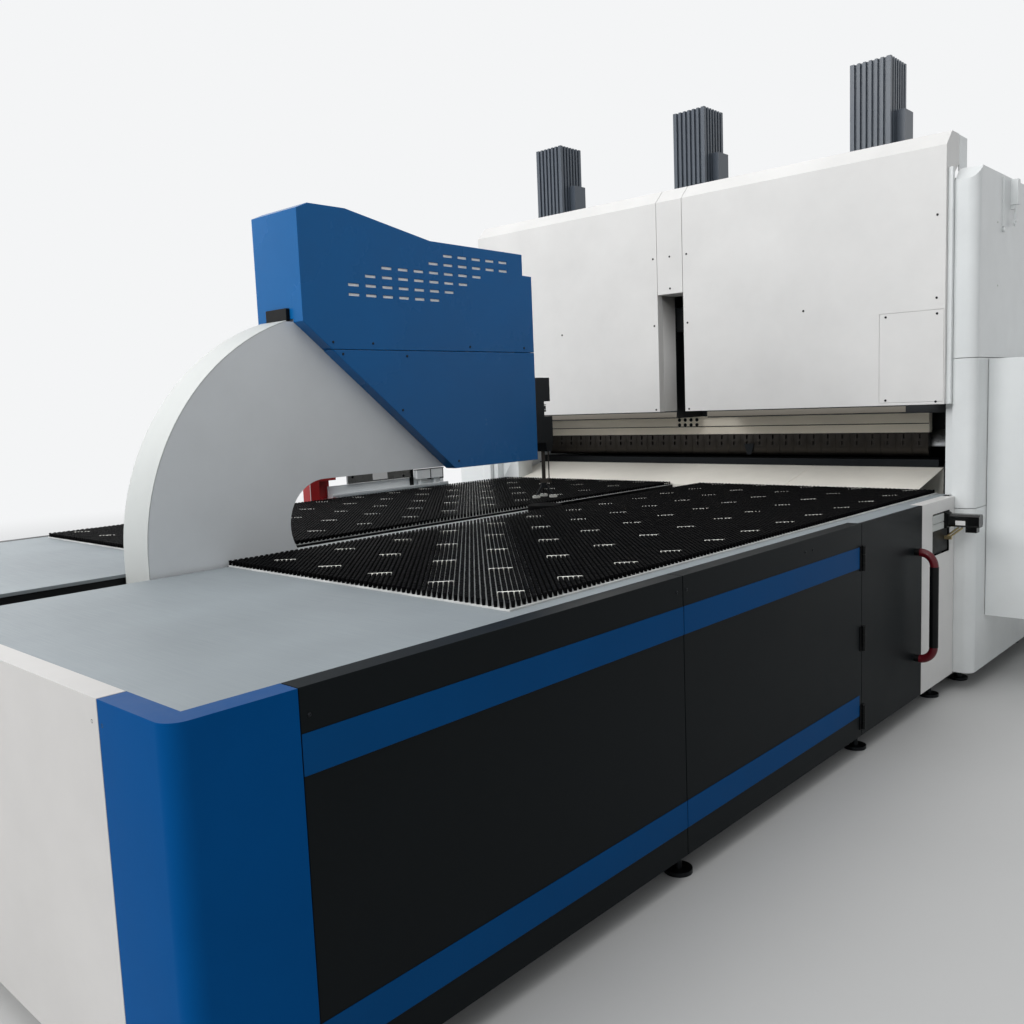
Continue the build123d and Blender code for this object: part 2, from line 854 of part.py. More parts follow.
# Socket block behind the head, where the arm's supply comes in
with BuildPart() as head_connector:
    block((-66, 66), (heel[0] - 16, heel[0]), (neck_z + 0.5, neck_z + 46))
write(head_connector, "head_connector")

# Clamp guide: plate on the head's front, cylinder body with a tapered nose, and a motor on top
head_front_y = along(head_front)
clamp_y = (head_front_y + clamp_plate_thickness, head_front_y + clamp_plate_thickness + clamp_depth)
body_top_z = head_bottom_z + clamp_body_top
body_low_z = head_bottom_z + clamp_body_bottom
nose_z = head_bottom_z + clamp_nose
clamp_motor_z = head_bottom_z + clamp_motor_bottom
clamp_top_z = head_bottom_z + clamp_motor_top
clamp_step_y = clamp_y[1] - clamp_motor_step
with BuildPart() as clamp_guide:
    clamp_plate_z = (head_bottom_z + clamp_plate_bottom, head_bottom_z + clamp_plate_top)
    block((-clamp_plate_half, clamp_plate_half), (head_front_y, clamp_y[0]), clamp_plate_z)
    block((-clamp_half_width, clamp_half_width), clamp_y, (body_low_z, body_top_z))
    # a neck with a coupling joins the body to the motor above it
    block((-clamp_plate_half, clamp_plate_half), (clamp_y[0], clamp_step_y - 62), (body_top_z, clamp_top_z))
    rod(24, (0, clamp_step_y - 30, body_top_z), (0, clamp_step_y - 30, clamp_motor_z))
    rod(33, (0, clamp_step_y - 30, body_top_z + 22), (0, clamp_step_y - 30, clamp_motor_z - 22))
    block((-clamp_half_width, clamp_half_width), (clamp_y[0], clamp_step_y), (clamp_motor_z, clamp_top_z))
    with BuildSketch(Plane.XY.offset(body_low_z)):
        with Locations((0, disc_y)):
            Rectangle(2 * clamp_half_width, 2 * (clamp_y[1] - disc_y))
    with BuildSketch(Plane.XY.offset(nose_z)):
        with Locations((0, disc_y)):
            Rectangle(2 * clamp_half_width - 6, 36)
    loft()
    rod(rod_radius + pin_clearance, (0, disc_y, nose_z - 1), (0, disc_y, body_top_z - 8), mode=Mode.SUBTRACT)
    rod(
        thin_rod_radius + pin_clearance,
        (thin_rod_shift, disc_y, nose_z - 1),
        (thin_rod_shift, disc_y, body_top_z - 8),
        mode=Mode.SUBTRACT,
    )
write(clamp_guide, "clamp_guide")

# Clamp rods, which slide down to the sheet, tied by a small collar
collar_z = 1098.0
with BuildPart() as clamp_rods:
    rod(rod_radius, (0, disc_y, collar_z), (0, disc_y, body_top_z - 78))
    rod(thin_rod_radius, (thin_rod_shift, disc_y, collar_z), (thin_rod_shift, disc_y, body_top_z - 78))
    block((-14, thin_rod_shift + 6), (disc_y - 13, disc_y + 13), (collar_z - 16, collar_z + 4))
    rod(7, (0, disc_y, collar_z - 46), (0, disc_y, collar_z - 16))
write(clamp_rods, "clamp_rods")

# Clamp foot: a hub that turns on the rod, three splayed legs and a pad under each
with BuildPart() as clamp_foot:
    rod(15, (0, disc_y, collar_z - 40), (0, disc_y, collar_z - 16.4))
    rod(7 + pin_clearance, (0, disc_y, collar_z - 50), (0, disc_y, collar_z - 10), mode=Mode.SUBTRACT)
    for leg in range(3):
        turn = math.radians(foot_turn + 120 * leg)
        outward = Vector(math.cos(turn), math.sin(turn), 0)
        top = Vector(0, disc_y, collar_z - 30) + outward * 13
        low = Vector(0, disc_y, foot_bottom_z + 10) + outward * pad_spread
        with Locations(Plane(origin=top, z_dir=low - top)):
            Cylinder(4, (low - top).length, align=(Align.CENTER, Align.CENTER, Align.MIN))
        centre = Vector(0, disc_y, foot_bottom_z) + outward * pad_spread
        rod(pad_radius, tuple(centre), (centre.X, centre.Y, foot_bottom_z + 12))
write(clamp_foot, "clamp_foot")

# Turning disc at the jaw's end, under the clamp
with BuildPart() as rotary_disc:
    low = jaw_top_z + body_gap
    rod(disc_radius, (0, disc_y, low), (0, disc_y, low + disc_thickness))
    chamfer(rotary_disc.edges().filter_by(GeomType.CIRCLE).sort_by(Axis.Z)[-1], length=4)
    rod(disc_shaft_radius, (0, disc_y, low - disc_shaft_length + 5), (0, disc_y, low))
write(rotary_disc, "rotary_disc")


# The host

tool_y = column_y + tool_setback
tool_back = tool_y + tool_thickness

# Side frames: thick plates, cut back in front where the table's deck and end panel reach in
with BuildPart() as side_frames:
    for _, sign in sides:
        block((sign * side_frame_inner, sign * frame_outer), host_y, (column_bottom_z, crown_top_z))
    block(
        (-frame_outer - 1, frame_outer + 1),
        (host_y[0] - 1, host_y[0] + 60),
        (column_bottom_z - 1, deck_z + 2),
        mode=Mode.SUBTRACT,
    )
write(side_frames, "side_frames")

# Base on the host's feet: a ribbed plate under the blade frame, and the hollow beam that holds
# the lower tool
base_top = panel_bottom + base_thickness
lower_beam_y = (column_y + deck_overrun + 24, tool_back)
beam_step_z = apron_front_z - 60
with BuildPart() as host_base:
    block((-side_frame_inner, side_frame_inner), base_y, (panel_bottom, base_top))
    block((-side_frame_inner, side_frame_inner), lower_beam_y, (base_top, beam_step_z))
    block((-side_frame_inner, side_frame_inner), (tool_y - 12, tool_back), (beam_step_z, lower_tool_bottom_z))
    blocks(
        (cell[0] - base_rib, cell[1] - base_rib, base_thickness - base_plate),
        [
            (
                (column - 1.5) * cell[0],
                base_y[0] + (row + 0.5) * cell[1],
                panel_bottom + (base_thickness - base_plate) / 2,
            )
            for column in range(4)
            for row in range(3)
        ],
        mode=Mode.SUBTRACT,
    )
    for _, sign in sides:
        block(
            (sign * beam_wall / 2, sign * (side_frame_inner + 1)),
            (lower_beam_y[0] + beam_wall, lower_beam_y[1] - 2 * beam_wall),
            (base_top + beam_wall, beam_step_z - beam_wall),
            mode=Mode.SUBTRACT,
        )
write(host_base, "host_base")

# Column covers: wrapped sheets, rounded at the front corner and bevelled at the top, in three heights


def column_block(sign, inset, low, high):
    """A column's outline, made smaller all round by an inset, with a bevel at the top front edge."""
    with BuildPart() as shape:
        with BuildSketch(Plane.XY.offset(low)) as outline:
            with Locations((sign * (column_inner + column_outer) / 2, (column_y + host_back_y) / 2)):
                Rectangle(column_width - 2 * inset, host_depth - 2 * inset)
            front = outline.vertices().group_by(Axis.Y)[0].sort_by(Axis.X)
            fillet(front[0 if sign < 0 else -1], radius=column_radius - inset)
        extrude(amount=high - low)
        bevel_z = column_top_z - column_bevel - inset * math.sqrt(2)
        with BuildSketch(Plane.YZ.offset(sign * (column_inner - 1))):
            with BuildLine():
                Polyline(
                    (column_y - 1, bevel_z - 1),
                    (column_y - 1, bevel_z + column_bevel + 20),
                    (column_y + column_bevel + 20, bevel_z + column_bevel + 20),
                    close=True,
                )
            make_face()
        extrude(amount=sign * (column_width + 2), mode=Mode.SUBTRACT)
    return shape.part


column_levels = (column_bottom_z, *column_seams, column_top_z)
for name, sign in sides:
    with BuildPart() as column_cover:
        for low, high in zip(column_levels, column_levels[1:]):
            top_sheet = sheet if high == column_top_z else -1
            bottom = low + cover_gap / 2
            top = high - cover_gap / 2
            add(column_block(sign, 0, bottom, top) - column_block(sign, sheet, bottom - 1, top - top_sheet))
        block(
            (sign * (column_inner - 1), sign * (column_inner + sheet + 1)),
            (column_y + 30, host_back_y - 30),
            (column_bottom_z, column_top_z - column_bevel - 2 * sheet),
            mode=Mode.SUBTRACT,
        )
    write(column_cover, f"column_cover_{name}")

# Side cabinets on the columns
cabinet_y = (column_y + cabinet_setback, column_y + cabinet_setback + cabinet_length)
cabinet_centre = (column_outer + cabinet_width / 2, (cabinet_y[0] + cabinet_y[1]) / 2)
with BuildPart() as side_cabinets:
    for _, sign in sides:
        with BuildSketch(Plane.XY.offset(cabinet_bottom_z)):
            with Locations((sign * cabinet_centre[0], cabinet_centre[1])):
                RectangleRounded(cabinet_width, cabinet_length, 8)
        extrude(amount=cabinet_top_z - cabinet_bottom_z)
        block(
            (sign * (column_outer - 1), sign * (column_outer + cabinet_width - sheet)),
            (cabinet_y[0] + sheet, cabinet_y[1] - sheet),
            (cabinet_bottom_z + sheet, cabinet_top_z - sheet),
            mode=Mode.SUBTRACT,
        )
        block(
            (sign * (column_outer + cabinet_width - 1.5), sign * (column_outer + cabinet_width + 1)),
            (cabinet_centre[1] - 2, cabinet_centre[1] + 2),
            (cabinet_bottom_z + 30, cabinet_top_z - 30),
            mode=Mode.SUBTRACT,
        )
write(side_cabinets, "side_cabinets")

# Front covers: folded trays with a bevelled top, one each side of the slot and one above it
cover_y = column_y - cover_forward
cover_back = cover_y + cover_depth


def front_tray(low_x, high_x, low_z):
    """A cover with a flat face, a bevel and a deep top, open behind and below."""
    outline = (
        (cover_y, low_z),
        (cover_y, cover_bevel_z),
        (cover_y + cover_bevel_depth, cover_top_z),
        (cover_back, cover_top_z),
        (cover_back, column_top_z + 34),
        (column_y - 2, column_top_z - 60),
        (column_y - 2, low_z),
    )
    with BuildPart() as tray:
        with BuildSketch(Plane.YZ.offset(low_x)):
            with BuildLine():
                Polyline(*outline, close=True)
            make_face()
        extrude(amount=high_x - low_x)
        with BuildSketch(Plane.YZ.offset(low_x + sheet)):
            with BuildLine():
                Polyline(
                    (cover_y + sheet, low_z + sheet),
                    (cover_y + sheet, cover_bevel_z - 1),
                    (cover_y + cover_bevel_depth + 1, cover_top_z - sheet),
                    (cover_back + 1, cover_top_z - sheet),
                    (cover_back + 1, column_top_z - 80),
                    (column_y, column_top_z - 80),
                    (column_y, low_z + sheet),
                    close=True,
                )
            make_face()
        extrude(amount=high_x - low_x - 2 * sheet, mode=Mode.SUBTRACT)
    return tray


slot_edge = cover_slot / 2
seam_half = cover_gap / 2
write(front_tray(-cover_half_width, -slot_edge - seam_half, cover_bottom_z), "front_cover_left")
write(front_tray(-slot_edge + seam_half, slot_edge - seam_half, cover_slot_top_z), "front_cover_centre")

hatch_x = (cover_half_width - hatch_inset - hatch_width, cover_half_width - hatch_inset)
hatch_z = (cover_bottom_z + 12, cover_bottom_z + 12 + hatch_height)
front_cover_right = front_tray(slot_edge + seam_half, cover_half_width, cover_bottom_z)
with front_cover_right:
    block(hatch_x, (cover_y - 1, cover_y + sheet + 1), hatch_z, mode=Mode.SUBTRACT)
write(front_cover_right, "front_cover_right")

# Hatch that fills the opening, with a flange behind the cover's face
with BuildPart() as hatch_cover:
    block(
        (hatch_x[0] + seam_half, hatch_x[1] - seam_half),
        (cover_y, cover_y + sheet + body_gap),
        (hatch_z[0] + seam_half, hatch_z[1] - seam_half),
    )
    block(
        (hatch_x[0] - 8, cover_half_width - sheet),
        (cover_y + sheet + body_gap, cover_y + 2 * sheet + body_gap),
        (hatch_z[0] - 8, hatch_z[1] + 8),
    )
write(hatch_cover, "hatch_cover")

# Crown beam across the side frames, which carries the drives
drive_y = column_y + screw_offset
drive_xs = (-drive_spread, 0.0, drive_spread)
with BuildPart() as crown_beam:
    crown_y = (drive_y - 140, drive_y + 260)
    block((-side_frame_inner, side_frame_inner), crown_y, (crown_bottom_z, crown_top_z))
    # brackets that carry the front covers from inside
    bracket_y = (cover_back - 48, cover_back - 8)
    for x in (-1350.0, -250.0, 0.0, 250.0, 1350.0):
        block((x - 25, x + 25), (bracket_y[0], crown_y[0] + 1), (crown_top_z - 50, crown_top_z))
        block((x - 25, x + 25), bracket_y, (crown_top_z - 50, cover_top_z - sheet))
    for x in drive_xs:
        rod(
            drive_screw_radius + pin_clearance,
            (x, drive_y, crown_bottom_z - 1),
            (x, drive_y, crown_top_z + 1),
            mode=Mode.SUBTRACT,
        )
write(crown_beam, "crown_beam")

# Finned drive motors with a connector box behind each
motor_half = motor_width / 2
fin_pitch = motor_width / fin_count
fin_places = [(index + 1) * fin_pitch - motor_half for index in range(fin_count - 1)]
fin_middle = (crown_top_z + 60 + motor_top_z) / 2
fin_height = motor_top_z - crown_top_z - 60
with BuildPart() as one_motor:
    block((-motor_half, motor_half), (-motor_half, motor_half), (crown_top_z, motor_top_z))
    fin_face = motor_half - fin_depth / 2
    for sign in (-1, 1):
        blocks(
            (fin_pitch / 2, fin_depth + 0.01, fin_height),
            [(place, sign * fin_face, fin_middle) for place in fin_places],
            mode=Mode.SUBTRACT,
        )
        blocks(
            (fin_depth + 0.01, fin_pitch / 2, fin_height),
            [(sign * fin_face, place, fin_middle) for place in fin_places],
            mode=Mode.SUBTRACT,
        )
    rod(drive_screw_radius + 10, (0, 0, crown_top_z - 1), (0, 0, crown_top_z + 80), mode=Mode.SUBTRACT)
    box_z = (crown_top_z + motor_box_z, crown_top_z + motor_box_z + motor_box_height)
    block((motor_half, motor_half + motor_box_depth), (-20, motor_half - 14), box_z)
with BuildPart() as drive_motors:
    with Locations(*[(x, drive_y, 0) for x in drive_xs]):
        add(one_motor.part)
write(drive_motors, "drive_motors")

# Screws from the motors down into the press beam
screw_bottom_z = press_notch_top_z + 30
for name, x in zip(("left", "centre", "right"), drive_xs):
    with BuildPart() as drive_screw:
        rod(drive_screw_radius, (x, drive_y, screw_bottom_z), (x, drive_y, crown_top_z + 60))
    write(drive_screw, f"drive_screw_{name}")

# Press beam: a deep box beam with a notch in the middle, where the arm's clamp comes in
beam_half = side_frame_inner - 20
beam_y = (column_y + press_beam_front, tool_back)
with BuildPart() as press_beam:
    block((-beam_half, beam_half), beam_y, (rail_top_z, press_beam_top_z))
    block(
        (-press_notch / 2, press_notch / 2),
        (beam_y[0] - 1, tool_y - 40),
        (rail_top_z - 1, press_notch_top_z),
        mode=Mode.SUBTRACT,
    )
    for _, sign in sides:
        block(
            (sign * (press_notch / 2 + beam_wall), sign * (beam_half + 1)),
            (beam_y[0] + beam_wall, beam_y[1] - beam_wall),
            (rail_top_z + beam_wall, press_beam_top_z - beam_wall),
            mode=Mode.SUBTRACT,
        )
    for x in drive_xs:
        rod(
            drive_screw_radius + pin_clearance,
            (x, drive_y, press_notch_top_z - 60),
            (x, drive_y, press_beam_top_z + 1),
            mode=Mode.SUBTRACT,
        )
write(press_beam, "press_beam")

# Two clamping rails under the press beam
rail_limits = (tool_limits[0] - rail_overhang, tool_limits[1] + rail_overhang)
with BuildPart() as tool_rails:
    block(rail_limits, (tool_y, tool_back), (rail_split_z + 1, rail_top_z))
    block(rail_limits, (tool_y + 6, tool_back), (upper_tool_top_z, rail_split_z + 1))
write(tool_rails, "tool_rails")

# Upper clamping tools: separate segments with a tapered edge, a clamping slit and a square pocket
segment = (tool_limits[1] - tool_limits[0]) / tool_count
with BuildPart() as one_tool:
    with BuildSketch(Plane.YZ.offset(-(segment - tool_gap) / 2)):
        with BuildLine():
            Polyline(
                (tool_y + 8, upper_tool_top_z),
                (tool_y + 8, upper_tool_bottom_z + 34),
                (tool_back - 12, upper_tool_bottom_z),
                (tool_back, upper_tool_bottom_z),
                (tool_back, upper_tool_top_z),
                close=True,
            )
        make_face()
    extrude(amount=segment - tool_gap)
    for low, high, width in tool_pockets:
        block((-width / 2, width / 2), (tool_y + 7, tool_y + 20), (low, high), mode=Mode.SUBTRACT)
tool_places = [(tool_limits[0] + (index + 0.5) * segment, 0, 0) for index in range(tool_count)]
upper_tools = Compound(children=[Pos(*place) * one_tool.part for place in tool_places])
upper_tools.label = "upper_tools"
export_step(upper_tools, "parts/upper_tools.step")

# Black lower tool on the lower beam
lower_limits = (tool_limits[0] - lower_tool_overhang, tool_limits[1] + lower_tool_overhang)
with BuildPart() as lower_tool:
    block(lower_limits, (tool_y, tool_back), (lower_tool_bottom_z, lower_tool_top_z))
    chamfer(lower_tool.edges().filter_by(Axis.X).group_by(Axis.Z)[-1].sort_by(Axis.Y)[0], length=8)
write(lower_tool, "lower_tool")

# Sloping apron plates from the deck up to the lower tool, in two lengths
apron_start = brush_end_y + body_gap
apron_limits = (-(half_width - apron_left_inset), half_width - apron_right_inset)
with BuildPart() as apron_plates:
    for low_x, high_x in ((apron_limits[0], apron_seam_x - 1), (apron_seam_x + 1, apron_limits[1])):
        with BuildSketch(Plane.YZ.offset(low_x)):
            with BuildLine():
                Polyline(
                    (apron_start, frame_top),
                    (apron_start, apron_front_z),
                    (tool_y - 13, apron_rear_z),
                    (tool_y - 13, apron_front_z - 60),
                    (tool_y - 13 - sheet, apron_front_z - 60),
                    (tool_y - 13 - sheet, apron_rear_z - sheet - 1),
                    (apron_start + sheet, apron_front_z - sheet),
                    (apron_start + sheet, frame_top),
                    close=True,
                )
            make_face()
        extrude(amount=high_x - low_x)
write(apron_plates, "apron_plates")

# Blade frame: a C-shaped beam behind the tools, which carries the two bending blades
sheet_z = lower_tool_top_z
blade_y = tool_back + blade_gap
frame_y = (blade_y + 65, blade_y + 65 + blade_frame_depth)
frame_half = half_width - blade_inset
beam_far = blade_opening + blade_beam_height
with BuildPart() as blade_frame:
    with BuildSketch(Plane.YZ.offset(-frame_half)):
        with BuildLine():
            Polyline(
                (frame_y[0], sheet_z + blade_opening),
                (frame_y[0], sheet_z + blade_opening + blade_nose_height),
                (frame_y[0] + blade_nose_depth, sheet_z + beam_far),
                (frame_y[1], sheet_z + beam_far),
                (frame_y[1], sheet_z - beam_far),
                (frame_y[0] + blade_nose_depth, sheet_z - beam_far),
                (frame_y[0], sheet_z - blade_opening - blade_nose_height),
                (frame_y[0], sheet_z - blade_opening),
                (frame_y[1] - blade_web, sheet_z - blade_opening),
                (frame_y[1] - blade_web, sheet_z + blade_opening),
                close=True,
            )
        make_face()
    extrude(amount=2 * frame_half)
    # the beams above and below the sheet are hollow, with one rib in the middle
    for side in (-1, 1):
        for half in (-1, 1):
            block(
                (half * blade_rib / 2, half * (frame_half + 1)),
                (frame_y[0] + blade_nose_depth + blade_wall, frame_y[1] - blade_wall),
                (sheet_z + side * (blade_opening + blade_wall), sheet_z + side * (beam_far - blade_wall)),
                mode=Mode.SUBTRACT,
            )
write(blade_frame, "blade_frame")

with BuildPart() as bending_blades:
    for sign in (-1, 1):
        with BuildSketch(Plane.YZ.offset(-frame_half)):
            with BuildLine():
                Polyline(
                    (blade_y, sheet_z + sign * blade_opening),
                    (blade_y + 65, sheet_z + sign * blade_opening),
                    (blade_y + 65, sheet_z + sign * (blade_opening + 90)),
                    (blade_y + 40, sheet_z + sign * (blade_opening + 90)),
                    (blade_y, sheet_z + sign * (blade_opening + 14)),
                    close=True,
                )
            make_face()
        extrude(amount=2 * frame_half)
write(bending_blades, "bending_blades")

# Cross slide under the blade frame: two feet on the base, with a guide post behind each end
guide_back = frame_y[1] + body_gap
frame_low_z = sheet_z - beam_far
with BuildPart() as blade_carriage:
    for sign in (-1, 1):
        ends = (sign * (frame_half - 220), sign * frame_half)
        foot_y = (frame_y[0] + blade_nose_depth, guide_back + 120)
        block(ends, foot_y, (base_top + body_gap, frame_low_z - 90))
        block(ends, (guide_back, guide_back + 120), (frame_low_z - 90, sheet_z + 300))
    tie_z = (frame_low_z - 300, frame_low_z - 90)
    block((-frame_half, frame_half), (guide_back + 20, guide_back + 120), tie_z)
write(blade_carriage, "blade_carriage")

# Top cover over the host behind the front covers, with a way out for each motor
top_low_z = crown_top_z + body_gap
lid_top_z = top_low_z + lid_height
lid_half = column_inner - body_gap
crown_hole = motor_half + 15
with BuildPart() as top_cover:
    block((-lid_half, lid_half), (cover_back, host_back_y), (top_low_z, lid_top_z))
    block(
        (-lid_half + sheet, lid_half - sheet),
        (cover_back + sheet, host_back_y - sheet),
        (top_low_z - 1, lid_top_z - sheet),
        mode=Mode.SUBTRACT,
    )
    for x in drive_xs:
        block(
            (x - crown_hole, x + crown_hole),
            (drive_y - crown_hole, drive_y + crown_hole),
            (lid_top_z - 10, lid_top_z + 1),
            mode=Mode.SUBTRACT,
        )
write(top_cover, "top_cover")

# Rear cover: a tray across the back
with BuildPart() as rear_cover:
    rear_top_z = top_low_z - body_gap
    rear_half = column_inner - body_gap
    block((-rear_half, rear_half), (host_y[1] + body_gap, host_back_y), (column_bottom_z, rear_top_z))
    block(
        (-rear_half + sheet, rear_half - sheet),
        (host_y[1], host_back_y - sheet),
        (column_bottom_z + sheet, rear_top_z - sheet),
        mode=Mode.SUBTRACT,
    )
write(rear_cover, "rear_cover")
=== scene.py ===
# %% [markdown]
# # A panel bender
# A panel bender folds the edges of sheet metal. The sheet lies on a table full of brushes, a C-shaped
# arm clamps it from above and below and feeds it along the table, and the host bends each edge.
# The solids come from CAD, so this lesson adds what CAD leaves out: paint, brushed steel, tens of
# thousands of bristle tufts, screws, seams and fittings.

# %% The frame and its measures
import math

import bmesh
import bpy
import numpy as np
from mathutils import Matrix, Vector


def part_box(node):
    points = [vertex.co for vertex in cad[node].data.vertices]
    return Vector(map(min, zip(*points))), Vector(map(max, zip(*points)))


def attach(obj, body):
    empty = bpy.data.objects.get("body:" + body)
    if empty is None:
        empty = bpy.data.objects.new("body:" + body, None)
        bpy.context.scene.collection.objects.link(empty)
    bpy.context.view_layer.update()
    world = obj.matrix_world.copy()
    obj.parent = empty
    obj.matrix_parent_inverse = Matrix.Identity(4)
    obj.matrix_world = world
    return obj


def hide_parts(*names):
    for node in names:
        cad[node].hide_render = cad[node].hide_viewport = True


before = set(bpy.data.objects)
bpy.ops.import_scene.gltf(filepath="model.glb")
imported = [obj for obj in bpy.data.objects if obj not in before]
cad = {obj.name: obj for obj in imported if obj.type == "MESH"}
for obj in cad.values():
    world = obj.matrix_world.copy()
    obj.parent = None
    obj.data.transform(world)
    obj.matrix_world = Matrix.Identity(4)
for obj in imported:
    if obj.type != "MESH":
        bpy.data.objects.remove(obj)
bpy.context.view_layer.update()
front = -3.1


# %% [markdown]
# ## Colours and nodes
# A paint card gives sRGB hex values, but shaders calculate in linear light. One function converts
# them, and one function adds a node, sets its fields and links its sockets.

# %% Two helpers for materials
def linear(code, alpha=1.0):
    """An sRGB hex value such as #1F4E79 as the linear colour that a shader takes."""
    channels = [int(code[i : i + 2], 16) / 255 for i in (1, 3, 5)]
    return (*[c / 12.92 if c <= 0.04045 else ((c + 0.055) / 1.055) ** 2.4 for c in channels], alpha)


def add_node(material, kind, inputs=None, **settings):
    """Adds one node. inputs maps a socket's name or number to a value or to another node's output."""
    tree = material.node_tree
    node = tree.nodes.new(kind)
    for name, value in settings.items():
        setattr(node, name, value)
    for name, value in (inputs or {}).items():
        if isinstance(value, bpy.types.NodeSocket):
            tree.links.new(value, node.inputs[name])
        else:
            node.inputs[name].default_value = value
    return node


def new_material(name):
    """An empty node material and the node that its surface ends in."""
    material = bpy.data.materials.new(name)
    material.use_nodes = True
    material.node_tree.nodes.clear()
    return material, add_node(material, "ShaderNodeOutputMaterial")


def ramp(material, factor, stops):
    """A colour ramp through (position, colour) stops."""
    node = add_node(material, "ShaderNodeValToRGB", {"Fac": factor})
    while len(node.color_ramp.elements) < len(stops):
        node.color_ramp.elements.new(0.5)
    for element, (place, colour) in zip(node.color_ramp.elements, stops):
        element.position = place
        element.color = colour
    return node.outputs["Color"]


def scaled(colour, factor):
    """A colour made darker or lighter."""
    return (*[min(1.0, c * factor) for c in colour[:3]], 1.0)


print("helpers ready")


# %% [markdown]
# ## Powder coat
# The sheet metal is taken to be powder coated, as is usual: a polyester powder is sprayed on and baked.
# It gives a tough plastic skin with a faint orange peel, a wave of about 2 mm, and a soft even gloss.
# Two slow noises stand for what a workshop does to it, wiped dust and slightly uneven gloss. An IOR of
# 1.5 is typical of polyester, and the roughness is what tells satin from semi-gloss. Real paint has a
# specular level of about 0.5, and the dark paints have far less here, because the white surroundings
# of this scene washed them out.

# %% Powder coat
def powder_coat(name, code, roughness, sheen=0.5, dust="#8E8B84", dusty=0.10, wear=0.06):
    """Baked polyester paint on sheet steel. sheen is the specular level, 0.5 on real paint."""
    material, output = new_material(name)
    paint = linear(code)
    place = add_node(material, "ShaderNodeTexCoord").outputs["Object"]
    cloud = add_node(
        material,
        "ShaderNodeTexNoise",
        {"Vector": place, "Scale": 1.7, "Detail": 5, "Roughness": 0.6},
    )
    shade = ramp(
        material,
        cloud.outputs["Fac"],
        [(0.3, scaled(paint, 1 - wear)), (0.7, scaled(paint, 1 + wear))],
    )
    normal = add_node(material, "ShaderNodeNewGeometry").outputs["Normal"]
    up = add_node(material, "ShaderNodeSeparateXYZ", {"Vector": normal}).outputs["Z"]
    grains = add_node(
        material,
        "ShaderNodeTexNoise",
        {"Vector": place, "Scale": 9, "Detail": 8, "Roughness": 0.75},
    )
    # dust only lies on faces that look up, so their normal's Z is over 0.6
    lying = add_node(
        material, "ShaderNodeMapRange", {"Value": up, 1: 0.6, 2: 1.0, 3: 0.0, 4: dusty * 2.2}
    )
    settled = add_node(
        material,
        "ShaderNodeMath",
        {0: lying.outputs["Result"], 1: grains.outputs["Fac"]},
        operation="MULTIPLY",
    )
    mixed = add_node(
        material,
        "ShaderNodeMix",
        {"Factor": settled.outputs["Value"], 6: shade, 7: linear(dust)},
        data_type="RGBA",
    )
    gloss = add_node(
        material,
        "ShaderNodeMapRange",
        {"Value": cloud.outputs["Fac"], 1: 0.3, 2: 0.7, 3: roughness - 0.04, 4: roughness + 0.06},
    )
    # orange peel: a real wave is about 2 mm across, and the noise has 450 waves to the metre
    wave = add_node(material, "ShaderNodeTexNoise", {"Vector": place, "Scale": 450, "Detail": 1})
    bump = add_node(
        material,
        "ShaderNodeBump",
        {"Height": wave.outputs["Fac"], "Strength": 0.12, "Distance": 0.0004},
    )
    skin = add_node(
        material,
        "ShaderNodeBsdfPrincipled",
        {
            "Base Color": mixed.outputs[2],
            "Roughness": gloss.outputs["Result"],
            "Normal": bump.outputs["Normal"],
            "IOR": 1.5,
            "Specular IOR Level": sheen,
        },
    )
    add_link(material, skin, output)
    return material


def add_link(material, shader, output):
    """Joins a shader to the material's output."""
    material.node_tree.links.new(shader.outputs[0], output.inputs["Surface"])


# The real machine probably has one blue. Here the posts, the head's covers and the strips have one
# each, with its own gloss, set to how each looks in the photograph.
blue = powder_coat("powder_coat_blue_post", "#054A86", 0.30, sheen=0.01)
# the head's covers take a lighter copy of the blue as painted light
head_blue = powder_coat("powder_coat_blue_head_painted_light", "#0A5E9C", 0.26, sheen=0.19)
# the strips take a darker copy of the blue as painted shade
stripe_blue = powder_coat("powder_coat_painted_shade_blue_strip", "#05457A", 0.36, sheen=0.03, dusty=0.02)
anthracite = powder_coat(
    "powder_coat_anthracite_satin", "#131719", 0.38, sheen=0.05, dust="#2A2B2B", dusty=0.1
)
white = powder_coat("powder_coat_white_satin", "#DFDEDC", 0.42)
# the front panel's white, darkened below the covers' white as painted shade
panel_white = powder_coat("powder_coat_front_panel_white_painted_shade", "#C2C0BE", 0.42, sheen=0.25)
light_grey = powder_coat("powder_coat_light_grey_semi_gloss", "#E4E7E7", 0.22, sheen=0.35)
arm_grey = powder_coat("powder_coat_pale_grey_arm", "#DEE1E3", 0.32)
# the apron's white is raised above the covers' white as painted light, since the covers shade it
apron_white = powder_coat("powder_coat_apron_white_painted_light", "#F6F2E8", 0.45)
top_grey = powder_coat("powder_coat_grey_top", "#C6C9C7", 0.45, sheen=0.25)
# brighter than the covers' white as painted light, for light that shows through the slots
liner_white = powder_coat("powder_coat_liner_painted_light", "#FBFCFD", 0.4)
# the rails' beige as it looks in the shade under the covers, for the facing of the press beam
shaded_beige = powder_coat("powder_coat_beige_beam", "#66625A", 0.5, sheen=0.2)
rail_beige = powder_coat("powder_coat_beige_rail", "#EEE6D6", 0.40)
frame_grey = powder_coat("powder_coat_dark_grey_frame", "#16181A", 0.5, sheen=0.2)
channel_red = powder_coat("powder_coat_signal_red", "#9C1518", 0.36)
print("powder coats:", len(bpy.data.materials))


# %% [markdown]
# ## Bare and blackened metal
# Stainless sheet is brushed by an abrasive belt, which leaves parallel scratches and stretches its
# reflections across them. The belt's lines are 0.1 to 0.3 mm apart, far finer than the render can show
# at this distance, so they are drawn about 4 mm apart. The other finishes are the usual ones for such
# parts: tool steel is ground, black parts are oxidised in hot salts, and small fittings are zinc plated
# or brass. A metal keeps the default IOR.

